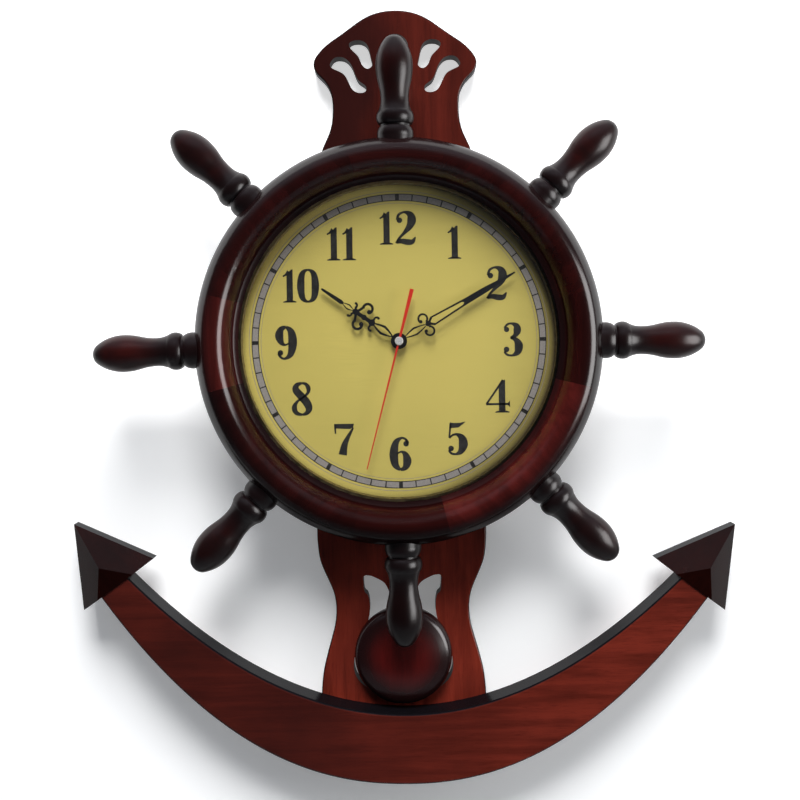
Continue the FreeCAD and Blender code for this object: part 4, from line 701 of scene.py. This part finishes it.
class CLOCK_OT_wheel(bpy.types.Operator):
    """Finish the rim's blocks and the spoke handles"""
    bl_idname = "clock.wheel"
    bl_label = "Wheel"

    # How bright each block's stain is, from the right hand one on round by way of the top
    block_stain_shares = (0.5, 0.7, 0.7, 0.6, 1.5, 0.4, 0.45, 1.45)
    # How bright each handle's stain is, in the same order
    handle_stain_shares = (0.5, 0.6, 0.3, 0.5, 0.6, 0.3, 0.1, 0.3)
    handle_gloss = 0.3
    # Where each mask starts and is full, from the hands' axis, in metres
    outer_shade = (0.138, 0.158)
    # The inner mask is painted shade in the recess between the rim and the dial
    inner_shade = (0.129, 0.134)
    thin_coat = (0.150, 0.166)
    low_coat = (0.09, 0.15)
    tip_shade = (0.222, 0.242)
    foot_shade = (0.183, 0.212)

    def execute(self, context):
        wood = context.scene.clock_wood
        self.finish_rim(wood)
        self.finish_handles(wood)
        return {"FINISHED"}

    def finish_rim(self, wood):
        """Blocks of unlike stain, with sprayed shade at the outer edge, painted shade in the
        recess at the inner edge, and duller at the foot.
        """
        for index, node in enumerate(RIM_BLOCKS):
            turn = math.radians(-45 * index)
            stain = [v * self.block_stain_shares[index] for v in wood.wheel]
            name = node.replace("_", " ") + " lacquer"
            material, shader, w, grain = lacquered(name, stain, turn, depth=0.45)
            reach = group_node(w, "reach")["Reach"]
            outer = w.fade(reach, *self.outer_shade)
            # Painted shade in the recess by the dial
            inner = w.fade(reach, *self.inner_shade, 0.8, 0.0)
            foot = drift(w, "Z", *(HUB.z - v for v in self.low_coat))
            low = w.math("MULTIPLY_ADD", foot, -0.65, 1.0)
            coat = w.fade(reach, *self.thin_coat, 0.9, 0.5)
            w.link(w.math("MULTIPLY", coat, low), shader.inputs["Coat Weight"])
            shade = w.math("MULTIPLY", w.math("MAXIMUM", outer, inner), 0.9)
            w.link(w.mix(shade, grain["Color"], colour4(wood.wheel_shade)),
                   shader.inputs["Base Color"])
            paint(node, material)

    def finish_handles(self, wood):
        """Grips with sprayed shade at the foot, at the tip and in patches."""
        for index, node in enumerate(HANDLES):
            turn = math.radians(90 - 45 * index)
            stain = [v * self.handle_stain_shares[index] for v in wood.wheel]
            name = node.replace("_", " ") + " lacquer"
            material, shader, w, grain = lacquered(
                name, stain, turn, depth=0.4, gloss=self.handle_gloss, coat=0.8)
            reach = group_node(w, "reach")["Reach"]
            tip = w.fade(reach, *self.tip_shade)
            foot = w.fade(reach, *self.foot_shade, 1.0, 0.0)
            patches = group_node(w, "patch", Size=24.0, Low=0.35, High=0.65)["Mask"]
            shade = w.math("MAXIMUM", tip, foot)
            shade = w.math("MAXIMUM", shade, w.math("MULTIPLY", patches, 0.7))
            shade = w.math("MULTIPLY", shade, 0.92)
            w.link(w.mix(shade, grain["Color"], colour4(wood.wheel_shade)),
                   shader.inputs["Base Color"])
            paint(node, material)


class CLOCK_OT_dial(bpy.types.Operator):
    """Finish the dial and print its track and numerals"""
    bl_idname = "clock.dial"
    bl_label = "Dial"

    # Where each mask starts and is full, in metres: from the hands' axis, or to the right
    face_dim = (0.02, 0.12)
    # The edge masks paint the rim's shadow on the dial's right and shade all round its edge
    bronze_edge = (0.105, 0.1245)
    bronze_rim = (0.1215, 0.1255)
    bronze_side = (-0.05, 0.11)
    # The print's own measures
    rule_width = 0.65 * MM
    pale_outer_rule = (1.7 * MM, 2.1 * MM)   # outside the track
    pale_inner_rule = (2.0 * MM, 1.7 * MM)   # inside it
    hour_gap = 0.75         # between two blocks, half of it, in degrees
    minute_gap = 0.24
    ring_steps = 240

    def execute(self, context):
        dial = context.scene.clock_dial
        paint("dial_plate", self.gold_material(dial))
        paint("dial_backing", plastic_material("backing board", (0.16, 0.09, 0.05), 0.7))
        paint("spacer_ring", metal_material(
            "dark bronze ring", (0.22, 0.17, 0.09), roughness=0.4, grain=200.0))
        paint("glass", glass_material())
        ink = ink_material()
        y = DIAL_FRONT - INK_LIFT
        for number in range(1, 13):
            bm = draw_numeral(number, dial.numeral_height, dial.numeral_radius, y)
            print_piece(f"numeral_{number}", bm, ink)
        self.print_track(dial, ink, y)
        return {"FINISHED"}

    def gold_material(self, dial):
        """Gold brushed across, with painted light that dims outwards and painted shade and shadow
        at its edge.
        """
        material, shader, w = new_material(
            "brushed gold", Metallic=0.2, Coat_Weight=0.15, Coat_Roughness=0.3)
        place = w.add("ShaderNodeTexCoord").outputs["Object"]
        strokes = w.noise(w.vector("MULTIPLY", place, (0.02, 1.0, 1.0)), 2600.0, 2.0, 0.6)
        clouds = group_node(w, "patch", Size=7.0, Low=0.3, High=0.7)["Mask"]
        lit = w.mix(clouds, toned(dial.gold, 0.9), toned(dial.gold, 1.08))
        reach = group_node(w, "reach")["Reach"]
        # Painted light: the face is brightest at the middle and dims outwards
        lit = w.mix(w.fade(reach, *self.face_dim), lit, toned(dial.gold, 0.86))
        lit = w.mix(w.fade(strokes, 0.3, 0.7), lit, toned(dial.gold, 0.93))
        # Painted shadow of the rim on the dial's right, and painted shade all round its edge
        edge = w.fade(reach, *self.bronze_edge)
        edge = w.math("MULTIPLY", edge, drift(w, "X", *self.bronze_side))
        rim = w.fade(reach, *self.bronze_rim, 0.0, 0.3)
        edge = w.math("MULTIPLY_ADD", edge, 0.7, rim)
        w.link(w.mix(edge, lit, colour4(dial.bronze)), shader.inputs["Base Color"])
        w.link(w.fade(strokes, 0.3, 0.7, 0.38, 0.5), shader.inputs["Roughness"])
        bump(w, shader, strokes, SATIN_DEPTH, 0.4)
        return material

    def print_track(self, dial, ink, y):
        """Sixty pale blocks between two rules, with a heavier bar at each hour."""
        outer = dial.track_radius
        inner = outer - dial.track_width
        bm = bmesh.new()
        sector(bm, inner, outer, 0, 360, y, self.ring_steps)
        print_piece("minute_rules", bm, ink)
        bm = bmesh.new()
        gaps = [self.minute_gap if minute % 5 else self.hour_gap for minute in range(61)]
        for minute in range(60):
            start = 6 * minute + gaps[minute]
            end = 6 * (minute + 1) - gaps[minute + 1]
            sector(bm, inner + self.rule_width, outer - self.rule_width, start, end, y - INK_LIFT)
        silver = plastic_material("track silver", dial.silver, 0.4)
        print_piece("minute_blocks", bm, silver)
        bm = bmesh.new()
        near, far = self.pale_outer_rule
        sector(bm, outer + near, outer + far, 0, 360, y, self.ring_steps)
        far, near = self.pale_inner_rule
        sector(bm, inner - far, inner - near, 0, 360, y, self.ring_steps)
        print_piece("pale_rules", bm, silver)


class CLOCK_OT_hands(bpy.types.Operator):
    """Finish the hands and what holds them"""
    bl_idname = "clock.hands"
    bl_label = "Hands"

    def execute(self, context):
        black = plastic_material("hand black", (0.008, 0.008, 0.009), 0.32)
        paint("hour_hand minute_hand", black)
        paint("second_hand", plastic_material("hand red", (0.55, 0.025, 0.012), 0.35))
        steel = metal_material("bright steel", (0.72, 0.71, 0.69), 0.22)
        paint("fixing_washer second_arbor", steel)
        paint("second_cap", metal_material("satin cap", (0.8, 0.78, 0.75), metallic=0.5))
        paint("fixing_nut", metal_material("nut brass", (0.62, 0.44, 0.17), 0.28))
        return {"FINISHED"}


class CLOCK_OT_movement(bpy.types.Operator):
    """Finish the movement's case, train, motor and battery"""
    bl_idname = "clock.movement"
    bl_label = "Movement"

    def execute(self, context):
        case = plastic_material("case black", (0.02, 0.02, 0.022), 0.5)
        paint("movement_front movement_cover pendulum_arm", case)
        white = plastic_material("gear white", (0.75, 0.75, 0.7), 0.4)
        paint("minute_cannon hour_wheel motion_wheel third_wheel train_plate setting_knob", white)
        paint("battery", metal_material(
            "battery sleeve", (0.09, 0.1, 0.12), grain=80.0, metallic=0.3))
        spring = metal_material("spring metal", (0.7, 0.7, 0.68), 0.25)
        paint("battery_contacts pendulum_pin pendulum_magnet", spring)
        paint("motor_stator", metal_material("stator iron", (0.35, 0.35, 0.37), 0.4))
        copper = metal_material("enamelled copper", (0.5, 0.2, 0.08), 0.35, grain=700.0)
        paint("motor_coil drive_coil", copper)
        paint("circuit_board", plastic_material("circuit green", (0.03, 0.16, 0.07), 0.35))
        return {"FINISHED"}


class CLOCK_OT_pendulum(bpy.types.Operator):
    """Finish the pendulum's rod and bob"""
    bl_idname = "clock.pendulum"
    bl_label = "Pendulum"

    bob_shade = (0.012, 0.034)  # where it starts and is full, from the bob's middle

    def execute(self, context):
        wood = context.scene.clock_wood
        material, shader, w, grain = lacquered(
            "bob lacquer", wood.bob, turn=0.0, depth=0.35, gloss=0.22)
        place = w.add("ShaderNodeTexCoord").outputs["Object"]
        middle = tuple(middle_of("pendulum_bob"))
        flat = w.vector("MULTIPLY", w.vector("SUBTRACT", place, middle), (1.0, 0.0, 1.0))
        rim = w.fade(w.vector("LENGTH", flat), *self.bob_shade)
        patches = group_node(w, "patch", Size=20.0, Low=0.35, High=0.7)["Mask"]
        shade = w.math("MAXIMUM", w.math("MULTIPLY", rim, 0.92), w.math("MULTIPLY", patches, 0.4))
        w.link(w.mix(shade, grain["Color"], colour4(wood.wheel_shade)),
               shader.inputs["Base Color"])
        paint("pendulum_bob", material)
        brass = metal_material("rod brass", (0.6, 0.42, 0.18), 0.3)
        paint("pendulum_rod bob_clip", brass)
        return {"FINISHED"}


class CLOCK_OT_fasteners(bpy.types.Operator):
    """Finish the screws"""
    bl_idname = "clock.fasteners"
    bl_label = "Fasteners"

    def execute(self, context):
        zinc = metal_material("screw zinc", (0.6, 0.56, 0.42), 0.35)
        paint("hanger_screws rim_screws band_screws", zinc)
        return {"FINISHED"}


class CLOCK_OT_stage(bpy.types.Operator):
    """Build the wall, the floor, the lamps and the camera"""
    bl_idname = "clock.stage"
    bl_label = "Stage"

    # Places told from the hub, and sizes across and up, in metres
    key_place, key_size = (1.15, -0.6, 0.12), (0.3, 0.8)
    top_place, top_size = (0.0, -1.9, 2.9), (1.7, 1.7)
    card_place, card_size = (1.15, -0.68, 0.0), (0.8, 0.9)
    # The sheet of wall and floor
    sheet_gap = 0.0005      # behind the clock
    sheet_half_width = 4.0
    sheet_top = 3.5
    sheet_round = 0.3
    sheet_steps = 8         # round that corner
    floor_reach = 3.5

    def execute(self, context):
        stage = context.scene.clock_stage
        self.wall(stage)
        self.world(context)
        key = self.lamp("key", self.key_place, self.key_size, stage.key_power)
        key.visible_glossy = key.visible_transmission = False
        top = self.lamp("top", self.top_place, self.top_size, stage.top_power)
        top.data.spread = math.radians(85)
        top.visible_glossy = top.visible_transmission = False
        card = self.lamp("card", self.card_place, self.card_size, stage.card_power)
        card.visible_diffuse = False
        # The card stays out of the glass, which would mirror it to a viewer at the left
        apart = bpy.data.collections.new("not lit by card")
        apart.objects.link(NODES["glass"])
        apart.collection_objects[0].light_linking.link_state = "EXCLUDE"
        card.light_linking.receiver_collection = apart
        self.camera(context, stage)
        context.scene.view_settings.view_transform = "Standard"
        return {"FINISHED"}

    def camera(self, context, stage):
        """A camera in front of the hub, a little rolled, with the shift of the framing."""
        camera = bpy.data.cameras.new("camera")
        camera.lens = stage.lens
        camera.shift_x = 1 / PICTURE_PIXELS
        camera.shift_y = -59 / PICTURE_PIXELS
        eye = bpy.data.objects.new("camera", camera)
        context.scene.collection.objects.link(eye)
        eye.location = (HUB.x, -stage.distance, HUB.z)
        eye.rotation_euler = (math.radians(90), stage.roll, 0)
        context.scene.camera = eye

    @staticmethod
    def any_ray(w, first, *others):
        """One for rays of the named kinds, zero for the rest."""
        path = w.add("ShaderNodeLightPath")
        seen = path.outputs[first]
        for name in others:
            seen = w.math("MAXIMUM", seen, path.outputs[name])
        return seen

    def wall(self, stage):
        """One sheet that comes down the wall and sweeps out into the floor."""
        foot = CAD_BOX[0][2] - stage.drop
        gap, bend = self.sheet_gap, self.sheet_round
        profile = [(gap, self.sheet_top), (gap, foot + bend)]
        for i in range(1, self.sheet_steps + 1):
            a = math.pi / 2 * i / self.sheet_steps
            profile.append((gap - bend * (1 - math.cos(a)), foot + bend * (1 - math.sin(a))))
        profile.append((-self.floor_reach, foot))
        bm = bmesh.new()
        half = self.sheet_half_width
        rows = [[bm.verts.new((x, y, z)) for x in (-half, half)] for y, z in profile]
        for (a, b), (c, d) in zip(rows, rows[1:]):
            bm.faces.new((a, c, d, b))
        mesh = bpy.data.meshes.new("wall")
        bm.to_mesh(mesh)
        bm.free()
        for face in mesh.polygons:
            face.use_smooth = True
        wall = bpy.data.objects.new("wall", mesh)
        bpy.context.scene.collection.objects.link(wall)
        mesh.materials.append(self.wall_material(stage))

    def wall_material(self, stage):
        """Pale paint that glows a little to the eye, more above the hub where the glow washes out
        the clock's shadows, and clear from behind.
        """
        material, shader, w = new_material("wall paint", Roughness=0.9, Specular_IOR_Level=0.1)
        mask = group_node(w, "patch", Size=2.0)["Mask"]
        paper = w.mix(mask, colour4(stage.wall), toned(stage.wall, 0.985))
        height = w.add("ShaderNodeSeparateXYZ")
        w.link(w.add("ShaderNodeTexCoord").outputs["Object"], height.inputs[0])
        foot = CAD_BOX[0][2] - stage.drop
        raised = w.fade(height.outputs["Z"], foot, foot + 1.2)
        w.link(w.mix(raised, colour4(stage.floor), paper), shader.inputs["Base Color"])
        seen = self.any_ray(w, "Is Camera Ray", "Is Transmission Ray", "Is Glossy Ray")
        glow = w.add("ShaderNodeEmission")
        # Painted light: a stronger glow above the hub washes out the clock's shadows on the wall
        above = w.fade(height.outputs["Z"], HUB.z - 0.12, HUB.z - 0.03, 0.2, 0.6)
        seen = w.math("MULTIPLY", seen, raised)
        w.link(w.math("MULTIPLY", seen, above), glow.inputs["Strength"])
        add = w.add("ShaderNodeAddShader")
        w.link(shader.outputs[0], add.inputs[0])
        w.link(glow.outputs[0], add.inputs[1])
        clear = w.add("ShaderNodeBsdfTransparent")
        mix = w.add("ShaderNodeMixShader")
        w.link(w.add("ShaderNodeNewGeometry").outputs["Backfacing"], mix.inputs[0])
        w.link(add.outputs[0], mix.inputs[1])
        w.link(clear.outputs[0], mix.inputs[2])
        w.link(mix.outputs[0], material.node_tree.nodes["Material Output"].inputs["Surface"])
        return material

    def world(self, context):
        """A dim room under a pale sky, and white where the camera looks past the stage."""
        world = bpy.data.worlds.new("room")
        world.use_nodes = True
        context.scene.world = world
        w = Wires(world.node_tree)
        room = world.node_tree.nodes["Background"]
        room.inputs["Color"].default_value = (0.8, 0.88, 1.0, 1)
        parts = w.add("ShaderNodeSeparateXYZ")
        w.link(w.add("ShaderNodeTexCoord").outputs["Generated"], parts.inputs[0])
        w.link(w.fade(parts.outputs["Z"], 0.35, 0.95, 0.06, 0.9), room.inputs["Strength"])
        white = w.add("ShaderNodeBackground")
        white.inputs["Color"].default_value = (1, 1, 1, 1)
        gloss = self.any_ray(w, "Is Glossy Ray", "Is Transmission Ray")
        beyond = w.math("MULTIPLY", gloss, w.fade(parts.outputs["Y"], 0.0, 0.3))
        mix = w.add("ShaderNodeMixShader")
        w.link(w.math("MAXIMUM", self.any_ray(w, "Is Camera Ray"), beyond), mix.inputs[0])
        w.link(room.outputs[0], mix.inputs[1])
        w.link(white.outputs[0], mix.inputs[2])
        w.link(mix.outputs[0], world.node_tree.nodes["World Output"].inputs["Surface"])

    def lamp(self, name, place, size, power):
        """A white panel at a place told from the hub, facing it."""
        light = bpy.data.lights.new(name, "AREA")
        light.shape = "RECTANGLE"
        light.size, light.size_y = size
        light.energy = power
        lamp = bpy.data.objects.new(name, light)
        bpy.context.scene.collection.objects.link(lamp)
        lamp.location = Vector(place) + HUB
        lamp.rotation_euler = (-Vector(place)).to_track_quat("-Z", "Y").to_euler()
        return lamp


class CLOCK_PT_panel(bpy.types.Panel):
    """Buttons for each group of pieces"""
    bl_idname = "CLOCK_PT_panel"
    bl_label = "Wheel Clock"
    bl_space_type = "VIEW_3D"
    bl_region_type = "UI"
    bl_category = "Clock"

    def draw(self, context):
        for group in SETTINGS:
            settings = getattr(context.scene, group)
            box = self.layout.box()
            for name in settings.__annotations__:
                box.prop(settings, name)
        for operator in OPERATORS:
            self.layout.operator(operator.bl_idname)


OPERATORS = (CLOCK_OT_board, CLOCK_OT_anchor, CLOCK_OT_wheel, CLOCK_OT_dial, CLOCK_OT_hands,
             CLOCK_OT_movement, CLOCK_OT_pendulum, CLOCK_OT_fasteners, CLOCK_OT_stage)
SETTINGS = {"clock_wood": WoodSettings, "clock_dial": DialSettings, "clock_stage": StageSettings}


def register():
    for kind in (*SETTINGS.values(), *OPERATORS, CLOCK_PT_panel):
        bpy.utils.register_class(kind)
    for name, kind in SETTINGS.items():
        setattr(bpy.types.Scene, name, PointerProperty(type=kind))


def unregister():
    for name in SETTINGS:
        delattr(bpy.types.Scene, name)
    for kind in reversed((*SETTINGS.values(), *OPERATORS, CLOCK_PT_panel)):
        bpy.utils.unregister_class(kind)


def main():
    register()
    for operator in OPERATORS:
        family, action = operator.bl_idname.split(".")
        getattr(getattr(bpy.ops, family), action)()


if __name__ == "__main__":
    main()
